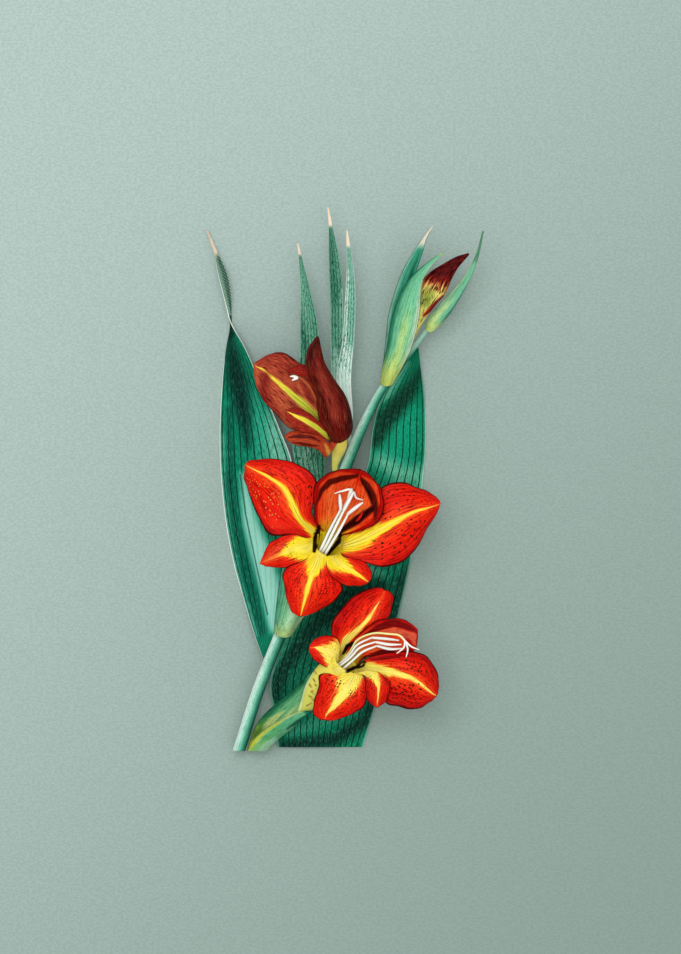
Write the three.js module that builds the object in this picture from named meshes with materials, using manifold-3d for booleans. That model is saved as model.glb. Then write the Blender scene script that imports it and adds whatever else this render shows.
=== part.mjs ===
// Cut gladiolus: a flowering stem with two open flowers, a half-open flower, a bud and five leaves.
// Millimetres. +X is right and +Y runs from the cut towards the leaf tips. The stem lies on the
// plane Z = 0 with its flowers facing up, and the origin is below the middle of the whole.

import * as THREE from 'three';
import Module from 'manifold-3d';

const wasm = await Module();
wasm.setup();

// Driving dimensions
const PETAL_THICKNESS = 0.7;
const BRACT_THICKNESS = 0.7;
const LEAF_THICKNESS = 0.8;
const THROAT_WALL = 1.3;
const TIP_HALF_WIDTH = 0.3;
const FILAMENT_RADIUS = 0.45;
const STYLE_RADIUS = 0.4;
const STIGMA_RADIUS = 0.35;
const ANTHER_RADIUS = 0.75;
const PETAL_GRID = { steps: 9, across: 6 };
const BRACT_GRID = { steps: 10, across: 4 };
const LEAF_GRID = { steps: 16, across: 4 };
const WIDE_LEAF_GRID = { steps: 20, across: 6 };
const THROAT_SIDES = 16;
const THROAT_STEPS = 8;
const THROAT_INNER_STEPS = 4;
const BASE_WALL_SHARE = 0.55;
const TEPAL_ROOTS = [0.93, 1];
const STEM_MESH = { sides: 12, steps: 20 };
const FILAMENT_MESH = { sides: 6, steps: 9 };
const ANTHER_MESH = { sides: 6, steps: 6 };
const STYLE_MESH = { sides: 6, steps: 14 };
const STIGMA_MESH = { sides: 6, steps: 5 };
const OVARY_MESH = { sides: 8, steps: 5 };
const BUD_MESH = { sides: 12, steps: 14 };

// Vectors and curves

function vector(point) {
  return new THREE.Vector3(point[0], point[1], point[2]);
}

// A smooth curve through the points, t from 0 to 1 in equal shares for each span.
function spline(points, t) {
  const last = points.length - 1;
  const place = Math.min(Math.max(t, 0), 1) * last;
  const index = Math.min(Math.floor(place), last - 1);
  const part = place - index;
  const p1 = points[index];
  const p2 = points[index + 1];
  const p0 = index > 0 ? points[index - 1] : p1.map((value, axis) => 2 * value - p2[axis]);
  const p3 = index < last - 1 ? points[index + 2] : p2.map((value, axis) => 2 * value - p1[axis]);
  return p1.map((value, axis) => 0.5 * (
    2 * value
    + (p2[axis] - p0[axis]) * part
    + (2 * p0[axis] - 5 * value + 4 * p2[axis] - p3[axis]) * part ** 2
    + (3 * value - p0[axis] - 3 * p2[axis] + p3[axis]) * part ** 3
  ));
}

// Closed shapes from rows of points

function geometryFrom(points, triangles) {
  const positions = new Float32Array(points.length * 3);
  points.forEach((point, index) => point.toArray(positions, index * 3));
  const geometry = new THREE.BufferGeometry();
  geometry.setAttribute('position', new THREE.BufferAttribute(positions, 3));
  geometry.setIndex(triangles.flat());
  return geometry;
}

function signedVolume(points, triangles) {
  const cross = new THREE.Vector3();
  return triangles.reduce((sum, [a, b, c]) => {
    cross.crossVectors(points[b], points[c]);
    return sum + points[a].dot(cross) / 6;
  }, 0);
}

function closedGeometry(points, triangles) {
  const outward = signedVolume(points, triangles) > 0;
  const faces = outward ? triangles : triangles.map(([a, b, c]) => [a, c, b]);
  return geometryFrom(points, faces);
}

// A thin blade. Each row holds its left margin, its rib and its right margin, from base to tip.
function bladePoint(rows, u, v) {
  const left = vector(spline(rows.map((row) => row[0]), u));
  const rib = vector(spline(rows.map((row) => row[1]), u));
  const right = vector(spline(rows.map((row) => row[2]), u));
  const slope = right.clone().sub(left).multiplyScalar(v / 2);
  const bend = right.add(left).multiplyScalar(0.5).sub(rib).multiplyScalar(v * v);
  return rib.add(slope).add(bend);
}

function bladeNormal(surface, u, v) {
  const reach = 0.01;
  const alongBlade = surface(Math.min(u + reach, 1), v).sub(surface(Math.max(u - reach, 0), v));
  const acrossBlade = surface(u, v + reach).sub(surface(u, v - reach));
  return acrossBlade.cross(alongBlade).normalize();
}

function blade(rows, thickness, { steps, across }, lowest = 0) {
  const surface = (u, v) => {
    const point = bladePoint(rows, u, v);
    point.z = Math.max(point.z, lowest);
    return point;
  };
  const width = across + 1;
  const upper = [];
  const lower = [];
  for (let step = 0; step <= steps; step += 1) {
    for (let column = 0; column <= across; column += 1) {
      const u = step / steps;
      const v = 2 * column / across - 1;
      const offset = bladeNormal(surface, u, v).multiplyScalar(thickness / 2);
      upper.push(surface(u, v).add(offset));
      lower.push(surface(u, v).sub(offset));
    }
  }
  lower.forEach((point) => { point.z = Math.max(point.z, 0); });
  const points = upper.concat(lower);
  const under = upper.length;
  const triangles = [];
  const wall = (a, b) => triangles.push([a, a + under, b + under], [a, b + under, b]);
  for (let step = 0; step < steps; step += 1) {
    for (let column = 0; column < across; column += 1) {
      const a = step * width + column;
      const b = a + 1;
      const c = a + width;
      const d = c + 1;
      triangles.push([a, b, d], [a, d, c]);
      triangles.push([a + under, d + under, b + under], [a + under, c + under, d + under]);
    }
    wall((step + 1) * width, step * width);
    wall(step * width + across, (step + 1) * width + across);
  }
  for (let column = 0; column < across; column += 1) {
    wall(column, column + 1);
    wall(steps * width + column + 1, steps * width + column);
  }
  return closedGeometry(points, triangles);
}

// A ring of points round a path. Its side axis stays as near to +X as it can.
function ringFrame(path, t) {
  const reach = 0.02;
  const centre = vector(spline(path, t));
  const tangent = vector(spline(path, Math.min(t + reach, 1)));
  tangent.sub(vector(spline(path, Math.max(t - reach, 0)))).normalize();
  const side = new THREE.Vector3(1, 0, 0);
  side.addScaledVector(tangent, -side.dot(tangent)).normalize();
  const up = new THREE.Vector3().crossVectors(tangent, side);
  return { centre, side, up };
}

function ringPoint({ centre, side, up }, radius, angle) {
  return centre.clone()
    .addScaledVector(side, radius * Math.cos(angle))
    .addScaledVector(up, radius * Math.sin(angle));
}

function skin(rings, sides) {
  const points = rings.flat();
  const triangles = [];
  for (let ring = 0; ring < rings.length - 1; ring += 1) {
    for (let side = 0; side < sides; side += 1) {
      const next = (side + 1) % sides;
      const a = ring * sides + side;
      const b = ring * sides + next;
      triangles.push([a, b, b + sides], [a, b + sides, a + sides]);
    }
  }
  const lastRing = (rings.length - 1) * sides;
  const start = points.length;
  const centreOf = (ring) => {
    const middle = ring.reduce((sum, point) => sum.add(point), new THREE.Vector3());
    return middle.multiplyScalar(1 / sides);
  };
  points.push(centreOf(rings[0]), centreOf(rings[rings.length - 1]));
  for (let side = 0; side < sides; side += 1) {
    const next = (side + 1) % sides;
    triangles.push([start, next, side], [start + 1, lastRing + side, lastRing + next]);
  }
  return closedGeometry(points, triangles);
}

// A round rod along a path, its radius given at the same points as the path.
function rod(path, radii, { sides, steps }) {
  const rings = [];
  for (let step = 0; step <= steps; step += 1) {
    const t = step / steps;
    const frame = ringFrame(path, t);
    const radius = spline(radii.map((value) => [value]), t)[0];
    rings.push(Array.from({ length: sides }, (_, side) => (
      ringPoint(frame, radius, 2 * Math.PI * side / sides)
    )));
  }
  return skin(rings, sides);
}

// A pod between a left and a right margin, as deep as its width times the depth.
function pod(rows, depth, { sides, steps }) {
  const rings = [];
  for (let step = 0; step <= steps; step += 1) {
    const t = step / steps;
    const left = vector(spline(rows.map((row) => row[0]), t));
    const right = vector(spline(rows.map((row) => row[1]), t));
    const centre = left.clone().add(right).multiplyScalar(0.5);
    const half = right.sub(left).multiplyScalar(0.5);
    rings.push(Array.from({ length: sides }, (_, side) => {
      const angle = 2 * Math.PI * side / sides;
      const point = centre.clone().addScaledVector(half, Math.cos(angle));
      point.z += half.length() * depth * Math.sin(angle);
      return point;
    }));
  }
  return skin(rings, sides);
}

// A flower's tube: closed at its base, open at its mouth, hollow from the floor upwards.
function throat({ path, radii, floor }) {
  const ringAt = (t, inset) => {
    const radius = spline(radii.map((value) => [value]), t)[0] - inset;
    const frame = ringFrame(path, t);
    return Array.from({ length: THROAT_SIDES }, (_, side) => (
      ringPoint(frame, radius, 2 * Math.PI * side / THROAT_SIDES)
    ));
  };
  const rings = [];
  for (let step = 0; step <= THROAT_STEPS; step += 1) {
    rings.push(ringAt(step / THROAT_STEPS, 0));
  }
  for (let step = 0; step <= THROAT_INNER_STEPS; step += 1) {
    const t = 1 - (1 - floor) * step / THROAT_INNER_STEPS;
    const wallShare = BASE_WALL_SHARE + (1 - BASE_WALL_SHARE) * t;
    rings.push(ringAt(t, THROAT_WALL * wallShare));
  }
  return skin(rings, THROAT_SIDES);
}

// The two lowest rows of a tepal, which grow out of the wall of the tube at its mouth.
function throatRows({ path, radii }, angle, spread) {
  const middle = THREE.MathUtils.degToRad(angle);
  const half = THREE.MathUtils.degToRad(spread);
  return TEPAL_ROOTS.map((t) => {
    const frame = ringFrame(path, t);
    const radius = spline(radii.map((value) => [value]), t)[0] - THROAT_WALL / 2;
    return [middle + half, middle, middle - half].map((turn) => (
      ringPoint(frame, radius, turn).toArray()
    ));
  });
}

function tip(x, y, z, alongX = 1, alongY = 0) {
  const dx = TIP_HALF_WIDTH * alongX;
  const dy = TIP_HALF_WIDTH * alongY;
  return [[x - dx, y - dy, z], [x, y, z], [x + dx, y + dy, z]];
}

// Joined solids

function solidFrom(geometry) {
  const mesh = new wasm.Mesh({
    numProp: 3,
    vertProperties: geometry.getAttribute('position').array,
    triVerts: new Uint32Array(geometry.getIndex().array),
  });
  return new wasm.Manifold(mesh);
}

function joined(geometries) {
  const solids = geometries.map(solidFrom);
  const whole = solids.slice(1).reduce((sum, solid) => sum.add(solid), solids[0]);
  const largest = whole.decompose().reduce((best, solid) => (
    solid.volume() > best.volume() ? solid : best
  ));
  const { vertProperties, triVerts } = largest.getMesh();
  const geometry = new THREE.BufferGeometry();
  geometry.setAttribute('position', new THREE.BufferAttribute(vertProperties, 3));
  geometry.setIndex(new THREE.BufferAttribute(triVerts, 1));
  return geometry;
}

// Finishes

const FINISHES = {
  stem: { color: 0x7fc4a8, roughness: 0.45, metalness: 0 },
  leaf: { color: 0x0e7a58, roughness: 0.5, metalness: 0 },
  tepal: { color: 0xe02a10, roughness: 0.4, metalness: 0 },
  half_open: { color: 0x8c2018, roughness: 0.45, metalness: 0 },
  bud: { color: 0x8a3020, roughness: 0.45, metalness: 0 },
  bract: { color: 0x6ab884, roughness: 0.5, metalness: 0 },
  filament: { color: 0xf2f2e6, roughness: 0.4, metalness: 0 },
  anther: { color: 0xe8e6d8, roughness: 0.6, metalness: 0 },
  style: { color: 0xe6e68c, roughness: 0.4, metalness: 0 },
  ovary: { color: 0x9cc850, roughness: 0.5, metalness: 0 },
};

const gladiolus = new THREE.Group();

function addPiece(name, geometry, finish) {
  const mesh = new THREE.Mesh(geometry, new THREE.MeshStandardMaterial(FINISHES[finish]));
  mesh.name = name;
  gladiolus.add(mesh);
}

// Stem

const STEM_PATH = [
  [-42.6, -108.6, 6.5], [-34.8, -84.4, 9.3], [-26.8, -64, 11.9], [-17.8, -41.2, 13],
  [-8.8, -18.4, 14], [0.2, 4.5, 14.3], [7.2, 21.6, 13.6], [14.6, 35.8, 12],
  [21, 44.4, 11.6], [26.8, 52, 12.2], [33, 60.2, 13.6],
];
const STEM_RADII = [2.5, 2.45, 2.4, 2.35, 2.3, 2.2, 2, 1.7, 1.5, 1.25, 0.9];

addPiece('stem', rod(STEM_PATH, STEM_RADII, STEM_MESH), 'stem');

// Leaves

const LEFT_LEAF = [
  [[-32.8, -71.5, 7.4], [-31.2, -73, 7.5], [-29.6, -74, 7.5]],
  [[-36.6, -61, 4.5], [-31.5, -61, 7], [-27.5, -61, 8.3]],
  [[-40.9, -47, 1.2], [-32, -46, 6], [-24, -46, 9]],
  [[-44.8, -33, -3], [-33.5, -30, 5.5], [-21.5, -30, 9.5]],
  [[-48, -16, -3.4], [-35.5, -12, 5.5], [-20.5, -12, 9.6]],
  [[-49.9, 3.4, -3.4], [-37, 4, 5.5], [-21, 6, 9.6]],
  [[-50.3, 20, -3], [-38.5, 20, 5.5], [-26, 20, 9]],
  [[-49.4, 38, -1.6], [-41.5, 38, 5], [-33.6, 38, 8]],
  [[-47.9, 52, 0.8], [-44, 52, 4.5], [-39.6, 52, 6.8]],
  [[-45.9, 62, 2.4], [-45.7, 62, 4.2], [-45.4, 62.4, 6]],
  [[-45.5, 69, 4.2], [-46.4, 69, 4.4], [-47.4, 69, 5.4]],
  [[-45.9, 76, 4.8], [-47.6, 76, 4.2], [-49.3, 76, 5]],
  [[-47.4, 83, 4.8], [-49.3, 83, 4.4], [-51, 83, 4.8]],
  [[-51, 91, 4.2], [-51.7, 91, 4.2], [-52.5, 91, 4.2]],
  tip(-55.4, 100.2, 3, -1),
];

const RIGHT_LEAF = [
  [[-26.9, -107.1, 1.4], [-10, -107.1, 2], [7.1, -107.1, -2]],
  [[-28.6, -93, 3.6], [-8.5, -93, 3.8], [11.6, -93, -3]],
  [[-30.2, -81.5, 5.8], [-7, -79, 5], [15.5, -78, -3.6]],
  [[-26.8, -69, 8.4], [-4, -65, 6], [19, -65, -4]],
  [[-21, -52, 9.5], [0, -50, 6.5], [22.8, -50, -4.4]],
  [[-13.4, -35, 9.8], [6, -34, 6.8], [26.2, -34, -4.4]],
  [[0.5, -13, 9.6], [15, -12, 6.5], [29.8, -12, -4]],
  [[8.8, 5, 9], [21, 7, 5.5], [32, 8, -2.6]],
  [[11.2, 21, 8], [22, 22, 5], [32.5, 22, -1]],
  [[15, 34, 8], [24, 35, 5.5], [31.6, 35, 2]],
  [[22, 44, 7.6], [26.5, 44, 6], [30.4, 44, 3.5]],
  tip(29.1, 53, 6),
];

const CENTRE_LEFT_LEAF = [
  [[-10.4, -18.4, 11.1], [-8.8, -18.4, 10.8], [-7.2, -18.4, 11.1]],
  [[-17, -2, 11.4], [-12, -2, 10.3], [-8, -2, 11]],
  [[-20.8, 12, 12], [-14.5, 12, 10.8], [-8, 12, 12]],
  [[-20, 30, 12.5], [-14.2, 30, 11], [-8.6, 30, 12.5]],
  [[-18.3, 47.6, 13], [-13.8, 47.6, 12], [-9.6, 48, 13]],
  [[-17.8, 62, 13.5], [-14.4, 62, 13], [-11, 62, 13.5]],
  [[-17.8, 76, 14], [-15.8, 76, 13.7], [-14, 76, 14]],
  [[-18.4, 88, 14], [-17.7, 88, 14], [-17, 88, 14]],
  tip(-18.9, 94.8, 13.5),
];

const CENTRE_LEAF = [
  [[-2, 0, 11], [-0.8, 0, 10.8], [0.6, 0, 11]],
  [[-4.5, 15, 12.5], [-2.2, 15, 12], [0, 15, 12.4]],
  [[-5.4, 35, 14], [-3, 35, 13.3], [-0.8, 35, 14]],
  [[-5.6, 55, 15], [-3.2, 55, 14.2], [-0.8, 55, 15]],
  [[-5.9, 72, 15.5], [-3.4, 72, 15], [-0.6, 72, 15.5]],
  [[-6.4, 88, 15.5], [-4.4, 88, 15.3], [-2.1, 88, 15.5]],
  [[-6.5, 101, 15], [-5.8, 101, 15], [-4.9, 101, 15]],
  tip(-6.8, 109.2, 14.5),
];

const CENTRE_RIGHT_LEAF = [
  [[1.8, 12, 11.2], [3, 12, 10.9], [4.2, 12, 11.2]],
  [[0.8, 18, 12.2], [1.6, 18, 12.1], [2.4, 18, 12.2]],
  [[0.2, 26, 14.5], [1.7, 26, 14.3], [3.1, 26, 14.5]],
  [[-3.4, 40.6, 16.2], [-0.6, 40.6, 15.8], [2.4, 40.6, 16.2]],
  [[-1, 56, 17.2], [1.3, 56, 16.6], [3.6, 56, 17.2]],
  [[0, 71.2, 17.6], [2, 71.2, 17.1], [4.1, 71.2, 17.6]],
  [[0.7, 83, 17.6], [2.2, 83, 17.3], [3.6, 83, 17.6]],
  [[0.6, 92, 17.2], [1.4, 92, 17.2], [2.3, 92, 17.2]],
  tip(0.8, 100, 16.5),
];

const LEAVES = {
  leaf_left: LEFT_LEAF,
  leaf_right: RIGHT_LEAF,
  leaf_centre_left: CENTRE_LEFT_LEAF,
  leaf_centre: CENTRE_LEAF,
  leaf_centre_right: CENTRE_RIGHT_LEAF,
};

const WIDE_LEAVES = ['leaf_left', 'leaf_right'];

for (const [name, rows] of Object.entries(LEAVES)) {
  const grid = WIDE_LEAVES.includes(name) ? WIDE_LEAF_GRID : LEAF_GRID;
  addPiece(name, blade(rows, LEAF_THICKNESS, grid, LEAF_THICKNESS / 2), 'leaf');
}

// Upper open flower

const UPPER_THROAT = {
  path: [
    [-22.6, -58, 19.2], [-19.6, -50, 20.4], [-16.4, -41.5, 23],
    [-12.2, -34, 26.6], [-8.6, -28.4, 30.6], [-7, -25.4, 35],
  ],
  radii: [1.6, 2.1, 2.5, 3.4, 5, 6.6],
  floor: 0.35,
};

const UPPER_TEPALS = [
  // Left wing
  [
    ...throatRows(UPPER_THROAT, 142, 33),
    [[-20.5, -22, 37.5], [-17.6, -16, 38], [-13.2, -13, 39.5]],
    [[-30.2, -21.8, 39], [-21.6, -8.4, 40.5], [-10.8, -3.4, 42.4]],
    [[-34.9, -13.7, 38], [-25, -2.8, 42], [-13.2, 2.6, 43]],
    [[-38.2, -6, 36.5], [-30.5, 1.3, 42.5], [-20.1, 6.8, 42.6]],
    [[-40, 0, 36.2], [-35.5, 3.8, 41.8], [-29.5, 8.4, 40.8]],
    [[-40, 4.5, 38.4], [-39, 5.6, 40.6], [-37.2, 7.9, 39.5]],
    tip(-39.6, 6.4, 40, 0.5, 0.6),
  ],
  // Right wing
  [
    ...throatRows(UPPER_THROAT, 5, 33),
    [[3.4, -18, 38], [0.6, -26, 37.4], [0.5, -30.2, 38.4]],
    [[9.5, -9, 40.4], [7.5, -23.6, 39.6], [8.5, -32.6, 39.4]],
    [[16, -2.8, 41.4], [15, -19.4, 41.5], [15.5, -34.1, 39]],
    [[23.5, -1.3, 40], [21.5, -15.8, 42.5], [22.5, -32.4, 37.5]],
    [[30, -3.7, 38], [28, -12.6, 42.5], [28.3, -27, 36.5]],
    [[35, -5.8, 38], [33.5, -11, 41], [33.6, -18.3, 37]],
    [[37.4, -7.8, 39], [36.8, -9.9, 39.8], [36.9, -12.6, 38.3]],
    tip(38, -9.4, 39, 0, -1),
  ],
  // Hood
  [
    ...throatRows(UPPER_THROAT, 76, 33),
    [[-11.4, -17.5, 40], [-3.5, -17.5, 34.6], [4.6, -20.8, 41.5]],
    [[-12.6, -10, 45], [-1, -11.5, 36.2], [11.8, -17.8, 45]],
    [[-12.4, -4.2, 48], [1.5, -5, 38.5], [15.5, -11.5, 48]],
    [[-9.6, 1, 50], [3.6, -0.5, 42], [15, -5.5, 50]],
    [[-4.5, 3.4, 51.5], [5, 2.2, 46.5], [12.4, -0.8, 51]],
    [[1.5, 4.5, 51.5], [5.8, 3.8, 50], [9.5, 2.4, 51.3]],
    tip(5.8, 4.1, 51.2, 1.6, -0.4),
  ],
  // Lower left
  [
    ...throatRows(UPPER_THROAT, 187, 27),
    [[-14.5, -30.9, 38.4], [-15, -27.2, 38.6], [-15.8, -23, 38.8]],
    [[-19, -33.2, 39.4], [-19.8, -27.3, 40.4], [-20.5, -21.6, 40.6]],
    [[-24, -34.8, 39.6], [-24.5, -28.9, 41.5], [-26, -22.8, 40.6]],
    [[-29, -34.9, 38.6], [-29, -31, 40.5], [-30, -25.2, 39.2]],
    [[-32.2, -34.1, 38.5], [-32, -32.4, 39.4], [-32.6, -29.8, 38.8]],
    tip(-33.9, -33.3, 38.4, 0.3, 1),
  ],
  // Lower middle
  [
    ...throatRows(UPPER_THROAT, 243, 29),
    [[-6.2, -33, 39], [-11, -32.5, 38.6], [-16.5, -31.5, 38.6]],
    [[-5.5, -37.5, 39], [-12.6, -36.6, 39.8], [-22.5, -34, 38.2]],
    [[-1.8, -41, 38.2], [-14, -40.2, 40.6], [-25, -38.5, 37.6]],
    [[-0.9, -44.4, 37], [-15.4, -44.6, 40.5], [-24, -42.8, 37.2]],
    [[-5, -48.7, 35.5], [-16.4, -48.8, 39], [-22.9, -48.5, 36]],
    [[-11.8, -52.8, 35], [-17.2, -52, 37], [-21.4, -52.4, 35.5]],
    tip(-17.8, -54.5, 35.8, -2, 0),
  ],
  // Lower right
  [
    ...throatRows(UPPER_THROAT, 299, 27),
    [[-1.5, -30.5, 39.4], [-4, -31.8, 39.4], [-6.8, -34, 39.8]],
    [[2.5, -31.8, 41], [-0.8, -34.2, 41.4], [-4.6, -38.3, 40.4]],
    [[6.2, -32.2, 41.2], [2.6, -36.1, 42.2], [-1, -41.1, 39.8]],
    [[9, -34.4, 40.4], [5.6, -38, 41.6], [3, -42.2, 39.2]],
    [[10.7, -37, 39.6], [7.8, -39.6, 40.4], [6.6, -42, 39]],
    [[10.2, -39.9, 39.3], [9.4, -40.7, 39.4], [8.6, -41.3, 39.2]],
  ],
];

// Lower open flower

const LOWER_THROAT = {
  path: [
    [-32.6, -103.6, 9.4], [-25.8, -99, 12.6], [-19.6, -94.6, 16.8], [-15.2, -90, 21],
    [-11.4, -83.8, 24.8], [-6, -78, 29], [0.4, -73.2, 34],
  ],
  radii: [1.5, 1.8, 2.2, 3, 4.8, 6.2, 6.8],
  floor: 0.35,
};

const LOWER_TEPALS = [
  // Upper wing
  [
    ...throatRows(LOWER_THROAT, 110, 31),
    [[-5.3, -62, 34], [0.5, -64, 34.5], [5, -64, 36]],
    [[-5.6, -58, 35.4], [3.8, -61, 37], [9.5, -61, 38]],
    [[-3.6, -54, 36], [7.5, -57.5, 39.5], [14, -58, 39.5]],
    [[0.9, -48.6, 36], [10.4, -54, 40.5], [17.6, -54, 39]],
    [[6.5, -44.6, 36.5], [12.6, -50.3, 40.5], [19.2, -49, 37.5]],
    [[11.8, -43, 37.5], [14.6, -47, 39.8], [19.2, -46, 38]],
    [[15.3, -43.3, 38.5], [16, -43.8, 38.8], [17, -44, 38.5]],
  ],
  // Hood
  [
    ...throatRows(LOWER_THROAT, 50, 31),
    [[4.5, -62.5, 38.5], [6, -66.5, 35.4], [8, -71, 37.6]],
    [[10, -57.8, 41.5], [11.5, -64.5, 36.5], [12.5, -70.6, 39]],
    [[16, -55.4, 43.5], [17, -63.2, 38.5], [18, -70.4, 40]],
    [[22, -55.4, 44.5], [22.5, -62.4, 41], [23, -69.6, 41]],
    [[26.5, -57.3, 45], [26.6, -62.4, 43.8], [26.8, -68.6, 42.4]],
    [[29.1, -59.7, 45], [28.9, -62.9, 45.2], [28.5, -67.2, 43.6]],
  ],
  // Right wing
  [
    ...throatRows(LOWER_THROAT, 350, 29),
    [[8.5, -71.3, 39.4], [9, -75, 38.8], [9.5, -77.8, 39]],
    [[14, -69.6, 42], [14, -75.8, 41.6], [13, -82, 38.6]],
    [[20.5, -68.4, 43.4], [19, -76.7, 44], [16, -88.4, 37.6]],
    [[27.5, -68.6, 43.4], [24.3, -78.2, 45], [20, -90.3, 37.2]],
    [[33, -70.6, 41.6], [29, -80.5, 44.5], [25.5, -91.4, 37.5]],
    [[36.5, -76.5, 39.6], [32.8, -83.5, 43], [30.5, -90.8, 38]],
    [[37.5, -81.8, 39], [35, -85.3, 41], [34, -88.6, 38.8]],
    [[37, -85.2, 39.3], [36.5, -86, 39.8], [35.9, -86.9, 39.2]],
  ],
  // Lower left
  [
    ...throatRows(LOWER_THROAT, 172, 30),
    [[-4.3, -75.2, 34.6], [-3, -71.5, 35], [-2.2, -65.5, 34.6]],
    [[-8.2, -74.4, 36], [-6, -69.4, 37], [-4.5, -62.4, 36]],
    [[-11.6, -72.4, 36.8], [-9.2, -67.7, 38], [-9, -62.3, 36.8]],
    [[-13.7, -69.8, 37], [-12, -66.9, 37.6], [-12, -63.6, 36.8]],
    [[-14.3, -67.8, 36.9], [-14.4, -67.1, 37], [-14.2, -66.3, 36.8]],
  ],
  // Lower middle
  [
    ...throatRows(LOWER_THROAT, 240, 30),
    [[6.5, -77.6, 38.6], [3.2, -78, 38.2], [-2.5, -77, 37]],
    [[8.2, -81, 39.6], [1.9, -81.3, 39.8], [-9.6, -78, 36]],
    [[8.8, -85.5, 39.6], [-0.2, -85, 40.5], [-10.2, -83, 35.5]],
    [[7.2, -90, 38.5], [-2.9, -88.4, 40], [-11.8, -88, 35]],
    [[2.5, -93.4, 37], [-5.3, -91.4, 38.8], [-12.6, -91.8, 35.5]],
    [[-2.5, -95.3, 36.5], [-7.3, -93.5, 37.4], [-11.8, -94.2, 36]],
    [[-6.6, -96.2, 36.2], [-8, -95.8, 36.4], [-9.4, -95.8, 36]],
  ],
  // Lower right
  [
    ...throatRows(LOWER_THROAT, 297, 26),
    [[11, -76.6, 41], [8.6, -76.4, 40.6], [7.4, -77.6, 40.2]],
    [[15.3, -78.4, 43.4], [11.8, -78.6, 42.8], [8.7, -80.2, 41.6]],
    [[17.2, -81.8, 43], [13.3, -82, 43.2], [8.8, -84, 41.2]],
    [[17.1, -85.2, 41.8], [13.3, -85.6, 42.4], [9.3, -87.2, 40.4]],
    [[15.6, -88.7, 40], [12.9, -88.6, 40.8], [10.8, -89.4, 39.5]],
    [[13.4, -90.4, 39.2], [12.8, -90.7, 39.3], [12.2, -90.6, 39.2]],
  ],
];

// Half-open flower

const HALF_THROAT = {
  path: [[-3.4, -0.5, 17.3], [-4.1, 4.8, 18.6], [-3.4, 9, 20.4], [-2.4, 13, 22.8], [-2.8, 17, 25.8]],
  radii: [0.9, 1.1, 1.9, 3, 4.2],
  floor: 0.5,
};

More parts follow.
